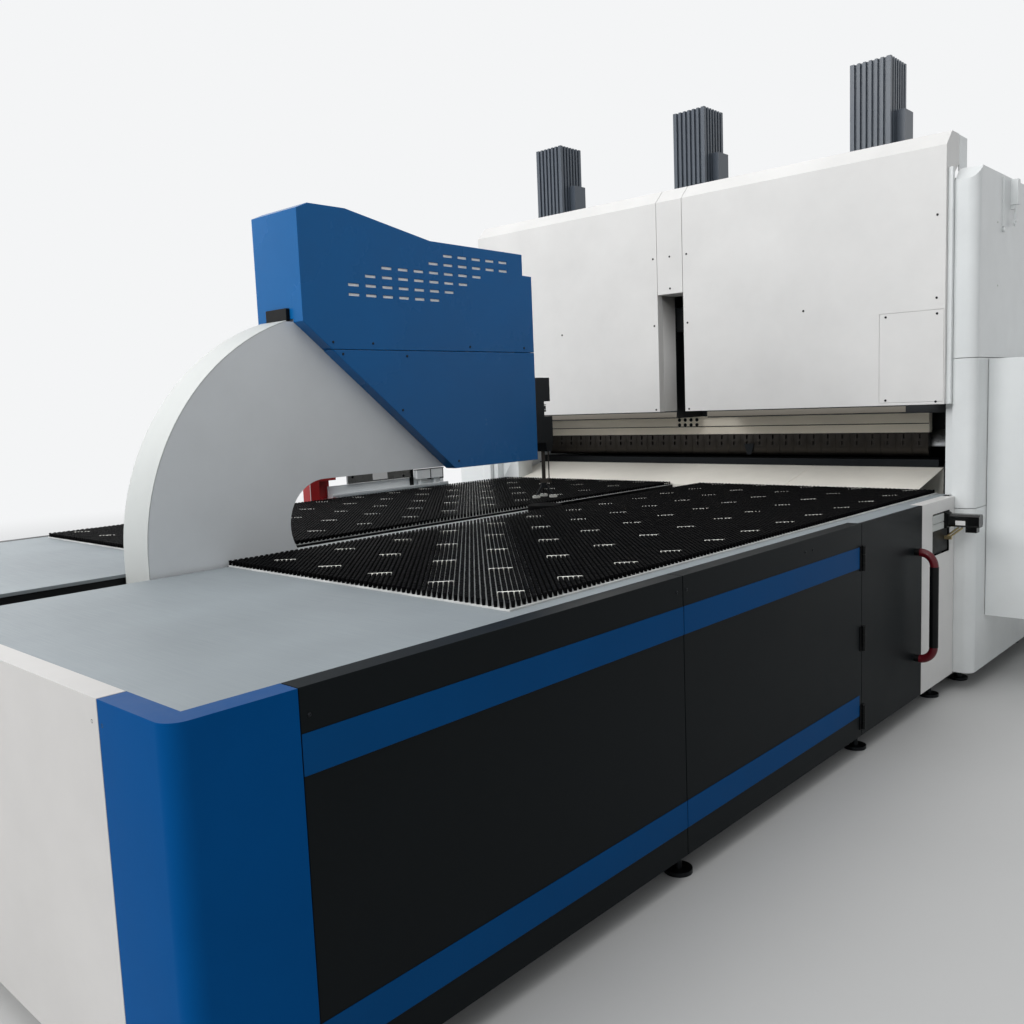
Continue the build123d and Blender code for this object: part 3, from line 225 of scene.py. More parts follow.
# %% Metals
def brushed_metal(
    name, code, roughness, stretch, lines=260, strength=0.25, stain=0.05, bare=1.0, sheen=0.5
):
    """Metal with parallel belt lines.

    stretch is how little the pattern changes along X, Y and Z. bare is under 1 where a milky protective
    film lies on the metal, and sheen is that film's specular level.
    """
    material, output = new_material(name)
    tone = linear(code)
    place = add_node(material, "ShaderNodeTexCoord").outputs["Object"]
    along = add_node(material, "ShaderNodeMapping", {"Vector": place, "Scale": stretch})
    scratch = add_node(
        material, "ShaderNodeTexNoise", {"Vector": along.outputs["Vector"], "Scale": lines, "Detail": 4}
    )
    cloud = add_node(material, "ShaderNodeTexNoise", {"Vector": place, "Scale": 2.3, "Detail": 6})
    tint = ramp(
        material,
        cloud.outputs["Fac"],
        [(0.3, scaled(tone, 1 - 2 * stain)), (0.7, scaled(tone, 1 + stain))],
    )
    gloss = add_node(
        material,
        "ShaderNodeMapRange",
        {"Value": scratch.outputs["Fac"], 1: 0.25, 2: 0.75, 3: roughness - 0.06, 4: roughness + 0.1},
    )
    bump = add_node(
        material,
        "ShaderNodeBump",
        {"Height": scratch.outputs["Fac"], "Strength": strength, "Distance": 0.0003},
    )
    skin = add_node(
        material,
        "ShaderNodeBsdfPrincipled",
        {
            "Base Color": tint,
            "Metallic": bare,
            "Specular IOR Level": sheen,
            "Roughness": gloss.outputs["Result"],
            "Normal": bump.outputs["Normal"],
        },
    )
    add_link(material, skin, output)
    return material


# A milky film lies on the deck plates in the photograph. bare and sheen are set to bring out the grey
# seen there, and are far lower than on real sheet with such a film.
stainless = brushed_metal(
    "stainless_sheet_brushed", "#939A9E", 0.42, (0.02, 1.0, 1.0), bare=0.06, sheen=0.03
)
ground_steel = brushed_metal("tool_steel_ground", "#8C8E8F", 0.3, (1.0, 1.0, 0.05))
black_steel = brushed_metal(
    "steel_black_oxide", "#26282A", 0.4, (1.0, 1.0, 1.0), lines=60, strength=0.1
)
zinc = brushed_metal("steel_zinc_plated", "#B4B6B2", 0.36, (1.0, 1.0, 1.0), lines=90, strength=0.1)
brass = brushed_metal("brass_drawn", "#C4B48A", 0.3, (1.0, 0.05, 1.0))
aluminium = brushed_metal("aluminium_mill_finish", "#C6C8C9", 0.38, (1.0, 0.03, 1.0))
# dark steel, made darker still as painted shade for the tools under the covers; the clamp's rods share
# it
tool_dark = brushed_metal(
    "tool_steel_painted_shade", "#3C3936", 0.4, (1.0, 1.0, 0.05), lines=120, strength=0.15
)
motor_blue = powder_coat("enamel_dark_motor", "#4A525C", 0.34, dust="#77797B", dusty=0.12)
print("metals ready")


# %% [markdown]
# ## Plastics and bristle
# Handles and plugs are taken to be moulded nylon. A spark-eroded grain, drawn about 1 mm wide, breaks
# up the gloss. The bristles are taken to be black nylon as well. A tuft holds hundreds of them, so each
# tuft gets a stripe pattern along its length, a little paler at the tips.

# %% Plastics
def moulded_plastic(name, code, roughness, grain=900, sheen=0.5):
    """Moulded nylon with an eroded grain."""
    material, output = new_material(name)
    tone = linear(code)
    place = add_node(material, "ShaderNodeTexCoord").outputs["Object"]
    fine = add_node(material, "ShaderNodeTexNoise", {"Vector": place, "Scale": grain, "Detail": 2})
    slow = add_node(material, "ShaderNodeTexNoise", {"Vector": place, "Scale": 14, "Detail": 4})
    tint = ramp(material, slow.outputs["Fac"], [(0.3, scaled(tone, 0.85)), (0.7, scaled(tone, 1.2))])
    bump = add_node(
        material, "ShaderNodeBump", {"Height": fine.outputs["Fac"], "Strength": 0.2, "Distance": 0.0002}
    )
    gloss = add_node(
        material,
        "ShaderNodeMapRange",
        {"Value": slow.outputs["Fac"], 1: 0.3, 2: 0.7, 3: roughness - 0.05, 4: roughness + 0.08},
    )
    skin = add_node(
        material,
        "ShaderNodeBsdfPrincipled",
        {
            "Base Color": tint,
            "Roughness": gloss.outputs["Result"],
            "Normal": bump.outputs["Normal"],
            "IOR": 1.53,
            "Specular IOR Level": sheen,
        },
    )
    add_link(material, skin, output)
    return material


black_nylon = moulded_plastic("nylon_black_moulded", "#0A0B0C", 0.4, sheen=0.12)
# the drive motor is deep black in the photograph, and enamel is a guess
gloss_black = powder_coat("enamel_gloss_black_motor", "#08090A", 0.2, sheen=0.3, dusty=0.05)
# the photograph doesn't show the turning disc at the jaw's end, and black rubber is a guess
rubber = moulded_plastic("rubber_black", "#0B0B0C", 0.6, sheen=0.02)
red_nylon = moulded_plastic("nylon_dark_red_moulded", "#560D17", 0.3, sheen=0.3)
white_pad = moulded_plastic("polyurethane_pad_white", "#D8D6CF", 0.5)
board_plastic = moulded_plastic("pvc_board_light_grey", "#C3C4C2", 0.5, grain=300)
strip_plastic = moulded_plastic("polyamide_glide_strip_white", "#EDEBE4", 0.4)


def bristle(name, code, tip):
    """Bundled nylon bristles, painted darker at the root as shade between the tufts, and rubbed paler
    at the tip.
    """
    material, output = new_material(name)
    place = add_node(material, "ShaderNodeTexCoord").outputs["Object"]
    height = add_node(material, "ShaderNodeSeparateXYZ", {"Vector": place}).outputs["Z"]
    # from the tufts' roots on the board to their tips, in metres above the floor
    rise = add_node(
        material, "ShaderNodeMapRange", {"Value": height, 1: 0.955, 2: 0.9735, 3: 0.0, 4: 1.0}
    )
    # the roots, at 0.4 of the colour, are painted shade between the tufts
    tone = ramp(
        material,
        rise.outputs["Result"],
        [(0.0, scaled(linear(code), 0.4)), (0.85, linear(code)), (1.0, linear(tip))],
    )
    # bristles are taken as 0.3 mm thick, and a stripe of about 1.5 mm is the finest that shows here
    along = add_node(material, "ShaderNodeMapping", {"Vector": place, "Scale": (1.0, 1.0, 0.04)})
    strands = add_node(
        material, "ShaderNodeTexNoise", {"Vector": along.outputs["Vector"], "Scale": 700, "Detail": 2}
    )
    bump = add_node(
        material,
        "ShaderNodeBump",
        {"Height": strands.outputs["Fac"], "Strength": 0.6, "Distance": 0.001},
    )
    skin = add_node(
        material,
        "ShaderNodeBsdfPrincipled",
        {
            "Base Color": tone,
            "Roughness": 0.55,
            "Normal": bump.outputs["Normal"],
            "IOR": 1.53,
            # real nylon has about 0.5, and the white surroundings washed the tufts out to grey
            "Specular IOR Level": 0.02,
        },
    )
    add_link(material, skin, output)
    return material


bristle_black = bristle("nylon_bristle_black", "#050506", "#0A0A0B")
print("plastics ready")


# %% [markdown]
# ## Dressing the CAD nodes
# A CAD solid has knife-sharp edges, and real sheet is folded with a small radius. The edges are welded
# and bevelled by about a millimetre, which catches the light along each fold, and faces that meet at a
# shallow angle are shaded smooth, so that the rounded posts look round.

# %% A material and a soft edge for every CAD node
finishes = {
    frame_grey: [
        "table_frame",
        "feed_bed",
        "host_base",
        "crown_beam",
        "press_beam",
        "blade_frame",
        "blade_carriage",
    ],
    panel_white: ["front_panel"],
    white: ["end_panel", "front_cover_left", "front_cover_centre", "front_cover_right", "hatch_cover"],
    blue: ["corner_posts"],
    head_blue: ["head_cover_upper", "head_cover_lower"],
    anthracite: [
        "side_panel_front_left",
        "side_panel_front_right",
        "side_panel_rear_left",
        "side_panel_rear_right",
        "access_door",
    ],
    stripe_blue: ["side_stripes"],
    black_nylon: ["frame_hinge_leaves", "door_hinge_leaves", "handle_grip", "head_connector"],
    gloss_black: ["drive_motor"],
    red_nylon: ["handle_ends"],
    ground_steel: [
        "hinge_pins",
        "feed_screw",
        "feed_carriages",
        "drive_screw_left",
        "drive_screw_centre",
        "drive_screw_right",
        "bending_blades",
    ],
    tool_dark: ["upper_tools", "clamp_rods"],
    stainless: ["deck_plates"],
    light_grey: [
        "side_frames",
        "column_cover_left",
        "column_cover_right",
        "side_cabinets",
        "drive_gearbox",
        "guide_bar",
    ],
    brass: ["drive_rods"],
    channel_red: ["guide_channel"],
    arm_grey: ["arm_frame"],
    black_steel: ["levelling_feet", "clamp_guide", "clamp_foot", "lower_tool"],
    rubber: ["rotary_disc"],
    motor_blue: ["drive_motors"],
    apron_white: ["apron_plates"],
    top_grey: ["arm_rim_strip", "top_cover", "rear_cover"],
    rail_beige: ["tool_rails"],
}
soft_edges = {
    "corner_posts": 0.0006,
    "head_cover_upper": 0.0025,
    "head_cover_lower": 0.002,
    "arm_frame": 0.0015,
}


def soften(obj, width=0.0012, angle=40, segments=2):
    """Welds and bevels a piece's sharp edges and shades it smooth."""
    weld = obj.modifiers.new("weld", "WELD")
    weld.merge_threshold = 0.00002
    bevel = obj.modifiers.new("folds", "BEVEL")
    bevel.width = width
    bevel.segments = segments
    bevel.limit_method = "ANGLE"
    bevel.angle_limit = math.radians(angle)
    bevel.use_clamp_overlap = True
    bevel.harden_normals = True
    obj.data.shade_smooth()


for finish, names in finishes.items():
    for name in names:
        node = cad[name]
        node.data.materials.clear()
        node.data.materials.append(finish)
        if node.data.has_custom_normals:
            node.data.attributes.remove(node.data.attributes["custom_normal"])
        soften(node, soft_edges.get(name, 0.0012))
undressed = sorted(set(cad) - {n for names in finishes.values() for n in names})
print("dressed", len(cad) - len(undressed), "nodes; left for new pieces:", undressed)


# %% [markdown]
# ## A maker for small pieces
# Screws, fittings and plates are many and small. Each is made once as points and faces, and copies are
# placed and joined into one piece, because a thousand separate objects would be slow and hard to read.

# %% Helpers that turn points and faces into pieces
def make_piece(name, points, faces, material, body="machine", slot=None, smooth=False):
    """A mesh object that rides on a CAD body and takes its finish from a material."""
    mesh = bpy.data.meshes.new(name)
    mesh.from_pydata([tuple(p) for p in points], [], [tuple(f) for f in faces])
    shape = bmesh.new()
    shape.from_mesh(mesh)
    bmesh.ops.recalc_face_normals(shape, faces=shape.faces)
    shape.to_mesh(mesh)
    shape.free()
    mesh.materials.append(material)
    obj = bpy.data.objects.new(name, mesh)
    bpy.context.scene.collection.objects.link(obj)
    if smooth:
        mesh.shade_smooth()
    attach(obj, body)
    return obj


def box_mesh(low, high):
    """Points and faces of a box between two corners."""
    (x0, y0, z0), (x1, y1, z1) = low, high
    points = [(x, y, z) for z in (z0, z1) for y in (y0, y1) for x in (x0, x1)]
    faces = [(0, 2, 3, 1), (4, 5, 7, 6), (0, 1, 5, 4), (2, 6, 7, 3), (0, 4, 6, 2), (1, 3, 7, 5)]
    return points, faces


def lathe_mesh(profile, sides=20):
    """Points and faces of a profile of (radius, height) turned about Z. Radii of 0 close an end."""
    points, faces, rings = [], [], []
    for radius, height in profile:
        if radius == 0:
            rings.append([len(points)])
            points.append((0, 0, height))
        else:
            rings.append(list(range(len(points), len(points) + sides)))
            for i in range(sides):
                turn = 2 * math.pi * i / sides
                points.append((radius * math.cos(turn), radius * math.sin(turn), height))
    for low, high in zip(rings, rings[1:]):
        for i in range(sides):
            j = (i + 1) % sides
            corners = [low[i % len(low)], low[j % len(low)], high[j % len(high)], high[i % len(high)]]
            faces.append(tuple(dict.fromkeys(corners)))
    return points, faces


def turned(points, axis):
    """Points turned so that their Z runs along an axis."""
    matrix = Vector((0, 0, 1)).rotation_difference(Vector(axis)).to_matrix()
    return [matrix @ Vector(p) for p in points]


def gather(parts):
    """Joins (points, faces, place) parts into one list of points and faces."""
    points, faces = [], []
    for part_points, part_faces, place in parts:
        start = len(points)
        points += [tuple(Vector(p) + Vector(place)) for p in part_points]
        faces += [tuple(i + start for i in f) for f in part_faces]
    return points, faces


def add_boxes(name, boxes, material, body="machine", slot=None, soft=0.001):
    """Several boxes, given by their corners, as one piece with softened edges."""
    parts = [(*box_mesh(low, high), (0, 0, 0)) for low, high in boxes]
    obj = make_piece(name, *gather(parts), material, body, slot)
    if soft:
        soften(obj, soft)
    return obj


# a button-head screw: a low dome with a hexagon socket, 10 mm across
dome = [
    (0.005, 0.0),
    (0.005, 0.0006),
    (0.0042, 0.002),
    (0.0028, 0.0027),
    (0.0019, 0.0027),
    (0.0017, 0.001),
    (0, 0.001),
]


def add_screws(name, places, axis, material, body="machine", size=1.0, slot=None):
    """Button-head screws with their heads along an axis, as one piece."""
    points, faces = lathe_mesh([(r * size, h * size) for r, h in dome], 18)
    points = turned(points, axis)
    screws = gather([(points, faces, p) for p in places])
    return make_piece(name, *screws, material, body, slot, smooth=True)


print("piece helpers ready")


# %% [markdown]
# ## The brush decks
# Sheets must slide without a scratch, so the table is covered with nylon tufts. They stand on a light
# board in a staggered grid: 21.3 mm apart along X, with every second row shifted by half, which is a
# square grid of 15 mm turned by 45 degrees. One tuft is a six-sided post that flares a little
# and leans a little, and numpy places all of them at once. The photograph shows short light marks
# across the rows. What they are isn't known: here five tufts are left out for each, and a light
# strip with round ends lies in their place.

# %% Boards under the brushes
board_top = 0.955
tip_top = 0.9725
slot_half = 0.1  # the arm passes in a slot of twice this width
for side, sign in (("left", -1), ("right", 1)):
    low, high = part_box(f"brush_deck_{side}")
    board = add_boxes(
        f"brush_board_{side}",
        [((low.x, low.y, low.z), (high.x, high.y, board_top))],
        board_plastic,
        slot="brush_black",
    )
    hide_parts(f"brush_deck_{side}")
    # a dark edge strip along the slot, 2.8 mm thick
    rim = sorted((sign * (slot_half - 0.003), sign * (slot_half - 0.0002)))
    add_boxes(
        f"slot_rim_{side}",
        [((rim[0], low.y, 0.914), (rim[1], high.y, board_top - 0.002))],
        black_nylon,
        slot="black_plastic",
        soft=0.0005,
    )
print("board top:", board_top, "length:", round(high.y - low.y, 3))

# %% The grid of tufts and its bare runs
pitch = 0.02132
bare_module = 0.2665
bare_columns = {
    "right": (0.262, 0.518, 0.785, 1.055, 1.330),
    "left": (-0.290, -0.560, -0.820, -1.084, -1.345),
}
first_bare_row = front + 1.378
slot_margin = 0.1065  # from the table's middle to the first tufts
side_margin = 0.0062
end_margin = 0.0055


def tuft_places(side, sign):
    """The grid places of one deck, and the middle of each bare run."""
    low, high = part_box(f"brush_deck_{side}")
    edge = sorted((sign * slot_margin, sign * (max(abs(low.x), abs(high.x)) - side_margin)))
    places = []
    for row in range(int((high.y - low.y - 0.013) / (pitch / 2))):
        y = low.y + end_margin + row * pitch / 2
        shift = pitch / 2 if row % 2 else 0.0
        first = math.ceil((edge[0] - shift) / pitch)
        last = int((edge[1] - shift) // pitch)
        places += [(c * pitch + shift, y) for c in range(first, last + 1)]
    places = np.array(places)
    keep = np.ones(len(places), bool)
    middles = []
    for x in bare_columns[side]:
        for k in range(-1, 11):
            y = first_bare_row + k * bare_module
            if not low.y + 0.06 < y < high.y - 0.06:
                continue
            start = places[np.hypot(places[:, 0] - x, places[:, 1] - y).argmin()]
            middles.append(tuple(start))
            for step in range(-2, 3):
                spot = start + step * pitch / 2
                keep &= np.hypot(places[:, 0] - spot[0], places[:, 1] - spot[1]) > pitch / 4
    return places[keep], middles


# %% Bristle tufts
def tuft_mesh(name, places, seed):
    """All tufts of one stretch as a single mesh of six-sided posts, built with arrays."""
    chance = np.random.default_rng(seed)
    count, sides = len(places), 6
    turn = 2 * np.pi * np.arange(sides) / sides + np.radians(45)
    ring = np.stack([np.cos(turn), np.sin(turn)], -1)[None]
    # metres: a tuft leans by 0.3 mm, is 9.6 mm wide at its foot, and spreads to about 11.6 mm
    lean = chance.normal(0, 0.0003, (count, 1, 2))
    foot = places[:, None] + ring * 0.0048
    head = places[:, None] + ring * chance.uniform(0.0056, 0.0060, (count, 1, 1)) + lean
    tip = tip_top - chance.uniform(0.0, 0.0012, (count, 1, 1)) + 0 * foot[..., :1]
    bottom = np.concatenate([foot, np.full_like(tip, board_top - 0.0003)], -1)
    points = np.concatenate([bottom, np.concatenate([head, tip], -1)], 1).reshape(-1, 3)
    i = np.arange(sides)
    j = (i + 1) % sides
    walls = np.stack([i, j, j + sides, i + sides], -1).reshape(-1)
    starts = (np.arange(count) * 2 * sides)[:, None]
    tops = ((i + sides)[None] + starts).reshape(-1)
    loops = np.concatenate([(walls[None] + starts).reshape(-1), tops])
    totals = np.concatenate([np.full(count * sides, 4), np.full(count, sides)]).astype(np.int32)
    mesh = bpy.data.meshes.new(name)
    mesh.vertices.add(len(points))
    mesh.vertices.foreach_set("co", points.astype(np.float32).reshape(-1))
    mesh.loops.add(len(loops))
    mesh.loops.foreach_set("vertex_index", loops.astype(np.int32))
    mesh.polygons.add(len(totals))
    mesh.polygons.foreach_set("loop_start", (np.cumsum(totals) - totals).astype(np.int32))
    mesh.polygons.foreach_set("loop_total", totals)
    mesh.update(calc_edges=True)
    mesh.validate()
    return mesh


def strip_mesh(place, half_length=0.0335, half_width=0.0045):
    """A round-ended strip along the diagonal, with a softened top."""
    outline = []
    for end, start in ((1, -90), (-1, 90)):
        for step in range(7):
            turn = math.radians(start + 30 * step)
            x = end * half_length + half_width * math.cos(turn)
            outline.append((x, half_width * math.sin(turn)))
    points, faces = [], []
    for inset, z in ((0.0, board_top), (0.0, tip_top - 0.0028), (0.0009, tip_top - 0.0018)):
        for x, y in outline:
            x, y = x * (1 - inset / half_length), y * (1 - inset / half_width)
            points.append(((x - y) * math.sqrt(0.5), (x + y) * math.sqrt(0.5), z))
    ring = len(outline)
    for level in (0, ring):
        for k in range(ring):
            turn = (k + 1) % ring
            faces.append((level + k, level + turn, level + ring + turn, level + ring + k))
    faces.append(tuple(range(2 * ring, 3 * ring)))
    return points, faces, (place[0], place[1], 0)


tufts = 0
for side, sign in (("left", -1), ("right", 1)):
    places, middles = tuft_places(side, sign)
    middle = np.median(places[:, 1])
    for part, chosen in (("front", places[:, 1] <= middle), ("rear", places[:, 1] > middle)):
        name = f"bristle_tufts_{side}_{part}"
        mesh = tuft_mesh(name, places[chosen], seed=len(name) + int(chosen.sum()))
        mesh.materials.append(bristle_black)
        obj = bpy.data.objects.new(name, mesh)
        bpy.context.scene.collection.objects.link(obj)
        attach(obj, "machine")
        tufts += int(chosen.sum())
    strips = gather([strip_mesh(m) for m in middles])
    make_piece(f"glide_strips_{side}", *strips, strip_plastic, slot="black_plastic")
print("tufts:", tufts)


# %% [markdown]
# ## Screws
# The photograph shows the screws as dark dots. They are taken to be button heads with a hexagon socket,
# and the left sides, which aren't in view, get the same ones as the right. Their places are in
# millimetres, like the CAD's own measures: across the machine, behind the table's front face, and up
# from the floor.

# %% Screws on the covers
def at(x, depth, z):
    """A place in metres from millimetres across, behind the table's front face, and up."""
    return (x / 1000, front + depth / 1000, z / 1000)


def span(x, depth, z):
    """The two corners of a box from three ranges in millimetres."""
    ranges = [sorted(r) for r in (x, depth, z)]
    return at(*[r[0] for r in ranges]), at(*[r[1] for r in ranges])


def face_of(node, corner, axis):
    """Where one face of a CAD node is, in the millimetres that at() takes."""
    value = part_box(node)[corner][axis] - (front if axis == 1 else 0)
    return value * 1000


# where the screws' faces are, and the screws' places on them as (depth, z) or (x, z)
head_side = face_of("head_cover_upper", 1, 0)
cover_face = face_of("front_cover_left", 0, 1)
panel_side = face_of("side_panel_front_right", 1, 0)
rail_face = face_of("tool_rails", 0, 1)
head_screws = (
    (1470, 1732),
    (1661, 1730),
    (2194, 1725),
    (2542, 1725),
    (1513, 1688),
    (1833, 1683),
    (1796, 1468),
    (2096, 1242),
)
# the first three are seen in the photograph and the last two are a guess; one that is seen on the
# post's side, at (249, 901), is missing
panel_screws = ((294, 891), (1600, 905), (1652, 905), (2440, 905), (2500, 905))
for side, sign in (("left", -1), ("right", 1)):
    add_screws(
        f"head_screws_{side}",
        [at(sign * head_side, depth, z) for depth, z in head_screws],
        (sign, 0, 0),
        black_steel,
        body="arm",
        slot="blackened_steel",
    )
    add_screws(
        f"panel_screws_{side}",
        [at(sign * panel_side, depth, z) for depth, z in panel_screws],
        (sign, 0, 0),
        black_steel,
        slot="blackened_steel",
    )

cover_screws = [(sign * x, z) for sign in (-1, 1) for x in (112, 1472) for z in (2270, 1890, 1405)]
cover_screws += [(-807, 1890), (807, 1890), (0, 2270), (0, 2092)]
cover_screws += [(1233, 1820), (1475, 1817), (1233, 1417)]
front_screws = (-1295, -1251, 1251, 1295)
sunk = 4.0  # the heads are sunk into the sheet, with no hole cut, and only their tops show
# the photograph shows the upper row at about 1338
rail_screws = [(x, z) for x in (-302, -259, -216, -173) for z in (1326, 1294)]
add_screws(
    "cover_screws",
    [at(x, cover_face, z) for x, z in cover_screws],
    (0, -1, 0),
    black_steel,
    size=1.15,
    slot="blackened_steel",
)
add_screws(
    "front_screws",
    [at(x, sunk, 900) for x in front_screws],
    (0, -1, 0),
    black_steel,
    size=1.5,
    slot="blackened_steel",
)
add_screws(
    "rail_screws",
    [at(x, rail_face, z) for x, z in rail_screws],
    (0, -1, 0),
    black_steel,
    body="press",
    size=2.3,
    slot="blackened_steel",
)
beside = 2 * (len(head_screws) + len(panel_screws))
print("screws:", beside + len(cover_screws) + len(front_screws) + len(rail_screws))


# %% [markdown]
# ## The arm's head
# The rows of slots look white against the blue in the photograph. What lies behind them isn't known,
# so white sheet is put there. The clamp hangs in front of the head: a motor, a coupling, a guide body
# and a turning foot with three light pads, taken to be polyurethane.

# %% Liners behind the slots, and the clamp's small parts
def ring(radius, hole, low, high, sides=28):
    """A ring about Z between two heights, with its edges broken, as a mesh."""
    soft = min(0.15 * (radius - hole), 0.4 * (high - low))
    outside = [(radius - soft, low), (radius, low + soft), (radius, high - soft), (radius - soft, high)]
    return lathe_mesh([(hole, low), *outside, (hole, high), (hole, low)], sides)


liner = []
for sign in (-1, 1):
    across = (sign * (head_side - 5.5), sign * (head_side - 3.5))
    liner.append((*box_mesh(*span(across, (1545, 2470), (1895, 2112))), (0, 0, 0)))
make_piece("vent_liners", *gather(liner), liner_white, body="arm", slot="white_paint")

# two hub rings on the coupling, 69 mm across and 7 mm thick, which are a guess
coupling_y = front + 2.799
coupling = [(*ring(0.0345, 0.020, z, z + 0.007), (0, coupling_y, 0)) for z in (1.437, 1.461)]
make_piece("clamp_coupling_rings", *gather(coupling), aluminium, body="arm", slot="stainless")
add_boxes(
    "clamp_bracket",
    [span((-50, 50), (2612, 2648), (1207, 1237.5))],
    light_grey,
    body="arm",
    slot="light_grey_paint",
)
# three pads, 39 mm across, one at the end of each leg of the foot
clamp_y = front + 2.815
leg_reach = 0.048
foot_turns = [math.radians(135 + 120 * leg) for leg in range(3)]
pad_profile = [
    (0, 1.0096),
    (0.0185, 1.0096),
    (0.0195, 1.0115),
    (0.0195, 1.018),
    (0.0165, 1.0222),
    (0.006, 1.0228),
    (0, 1.0228),
]
pad = lathe_mesh(pad_profile, 28)
pads = []
for turn in foot_turns:
    pads.append((*pad, (leg_reach * math.cos(turn), clamp_y + leg_reach * math.sin(turn), 0)))
make_piece(
    "clamp_foot_pads",
    *gather(pads),
    white_pad,
    body="clamp_foot",
    slot="black_plastic",
    smooth=True,
)
print("vent liners:", len(liner), "foot pads:", len(pads))


# %% [markdown]
# ## The host's covers
# The covers stand in front of the columns, so a strip closes each gap between them, and the slot in the
# middle is lined to the depth of the columns. A strip in a darker beige faces the press beam, a dark
# seam parts the rails, and a small dark plate that tapers downwards stands on the tools. The facing as
# a piece of its own is a guess, and what the plate is for isn't known.

# %% Linings and gap strips
column_face = face_of("column_cover_right", 1, 0)
cover_end = face_of("front_cover_right", 1, 0)
cover_back = face_of("front_cover_right", 1, 1)
slot_top = face_of("front_cover_centre", 0, 2)
cover_low = face_of("front_cover_right", 0, 2)
slot_edge = 86.5
sheet = 3  # thickness of folded sheet
column_start = 4026
lining_depth = (column_start, cover_back + 12)
lining, strips = [], []
for sign in (-1, 1):
    wall = (sign * slot_edge, sign * (slot_edge + sheet))
    lining.append(span(wall, lining_depth, (cover_low + 1, slot_top + 4)))
    gap = (sign * (cover_end + 1), sign * 1532)
    strips.append(span(gap, (4000, column_start), (cover_low, 2480)))
    end = (sign * (cover_end - 5), sign * cover_end)
    strips.append(span(end, (cover_back + 0.5, cover_back + 112), (2484, 2650)))
lining.append(span((-slot_edge, slot_edge), lining_depth, (slot_top + 1, slot_top + 4)))
add_boxes("slot_lining", lining, white, slot="white_paint", soft=0.0006)
add_boxes("cover_gap_strips", strips, light_grey, slot="white_paint", soft=0.0006)
print("cover end:", round(cover_end), "mm")

# %% The press beam's facing, the seam of the rails and the gauge
beam_front, beam_low = face_of("press_beam", 0, 1), face_of("press_beam", 0, 2)
rail_ends = (face_of("tool_rails", 0, 0), face_of("tool_rails", 1, 0))
facing_depth, facing_z = (beam_front - 5, beam_front - 0.5), (beam_low + 6, 1383)
arm_room = 106  # the arm's head comes in between the two halves of the facing
add_boxes(
    "press_beam_facing",
    [
        span((rail_ends[0], -arm_room), facing_depth, facing_z),
        span((arm_room, rail_ends[1]), facing_depth, facing_z),
    ],
    shaded_beige,
    body="press",
    slot="rail_paint",
)
add_boxes(
    "rail_joint",
    [span((rail_ends[0] + 1, rail_ends[1] - 1), (rail_face - 0.8, rail_face + 1), (1280, 1284.5))],
    black_nylon,
    body="press",
    slot="black_plastic",
    soft=0,
)
gauge_front, gauge_back = rail_face + 1, rail_face + 7.5
outline = [(157, 1174), (224, 1174), (204, 1108), (176, 1108)]
points = [at(x, depth, z) for depth in (gauge_front, gauge_back) for x, z in outline]
faces = [(0, 1, 2, 3), (7, 6, 5, 4)] + [(k, k + 4, (k + 1) % 4 + 4, (k + 1) % 4) for k in range(4)]
gauge = make_piece("tool_gauge", points, faces, black_steel, body="press", slot="blackened_steel")
soften(gauge, 0.001)
print("rails:", [round(x) for x in rail_ends], "mm")

# %% Catch and trim on the right column
# a flat bar, the catch's body and its neck, as (how far it stands out, depth, z)
catch = []
for proud, depth, z in (
    (6, (4389, 4401), (2236, 2468)),
    (34, (4517, 4558), (2352, 2474)),
    (20, (4524, 4551), (2330, 2352)),
):
    catch.append((*box_mesh(*span((column_face, column_face + proud), depth, z)), (0, 0, 0)))
# under them a rod with a pull ring, and a knob under the bar
rod = lathe_mesh([(0, 0), (0.006, 0), (0.006, 0.056), (0, 0.056)], 16)
catch.append((*rod, at(column_face + 17, 4537, 2280)))
for radius, hole, thickness, place in (
    (0.0175, 0.008, 0.009, (column_face + 12.5, 4537, 2266)),
    (0.0135, 0.0015, 0.011, (column_face, 4404, 2222)),
):
    points, faces = ring(radius, hole, 0, thickness)
    catch.append((turned(points, (1, 0, 0)), faces, at(*place)))
soften(make_piece("column_catch", *gather(catch), light_grey, slot="light_grey_paint"), 0.0008)
add_screws(
    "column_screws",
    [at(column_face, depth, z) for depth, z in ((4319, 2248), (4332, 1950), (4226, 458))],
    (1, 0, 0),
    zinc,
    slot="zinc_steel",
)
print("column face:", round(column_face), "mm")


# %% [markdown]
# ## Between the table and the host
# A flat lip covers the end of the brush boards and leads the sheet onto the sloping apron. It stops
# short of the slot, where the arm passes. A folded cover closes the apron's left end.

# %% The lip and the end cover
lip_z = (962.5, 965.5)
lip_depth = (4040, 4113)
lip_left, lip_right, lip_slot = -1345, 1338, 103
add_boxes(
    "apron_lip",
    [span((lip_left, -lip_slot), lip_depth, lip_z), span((lip_slot, lip_right), lip_depth, lip_z)],
    apron_white,
    slot="white_paint",
    soft=0.0008,
)
end_x, end_depth, end_z = (-1490, lip_left), (4112, 4254), (957, 1160)
add_boxes(
    "apron_end_cover",
    [
        span(end_x, (end_depth[0], end_depth[0] + sheet), end_z),
        span(end_x, (end_depth[1] - sheet, end_depth[1]), end_z),
        span((end_x[0], end_x[0] + sheet), end_depth, end_z),
        span((end_x[1] - sheet, end_x[1]), end_depth, end_z),
        span(end_x, end_depth, (end_z[1] - sheet, end_z[1])),
    ],
    light_grey,
    slot="light_grey_paint",
    soft=0.001,
)
print("apron lip at", lip_depth, "mm")


# %% [markdown]
# ## The edge guide
# The unit with the red channel on the table's left edge is taken to be an edge guide, which pushes the
# sheet square. Its bar is a shallow pale channel, and a grey backing plate, a blank plate, a post and
# two small housings stand along it. The thin dark frame and the smallest fittings are a guess.

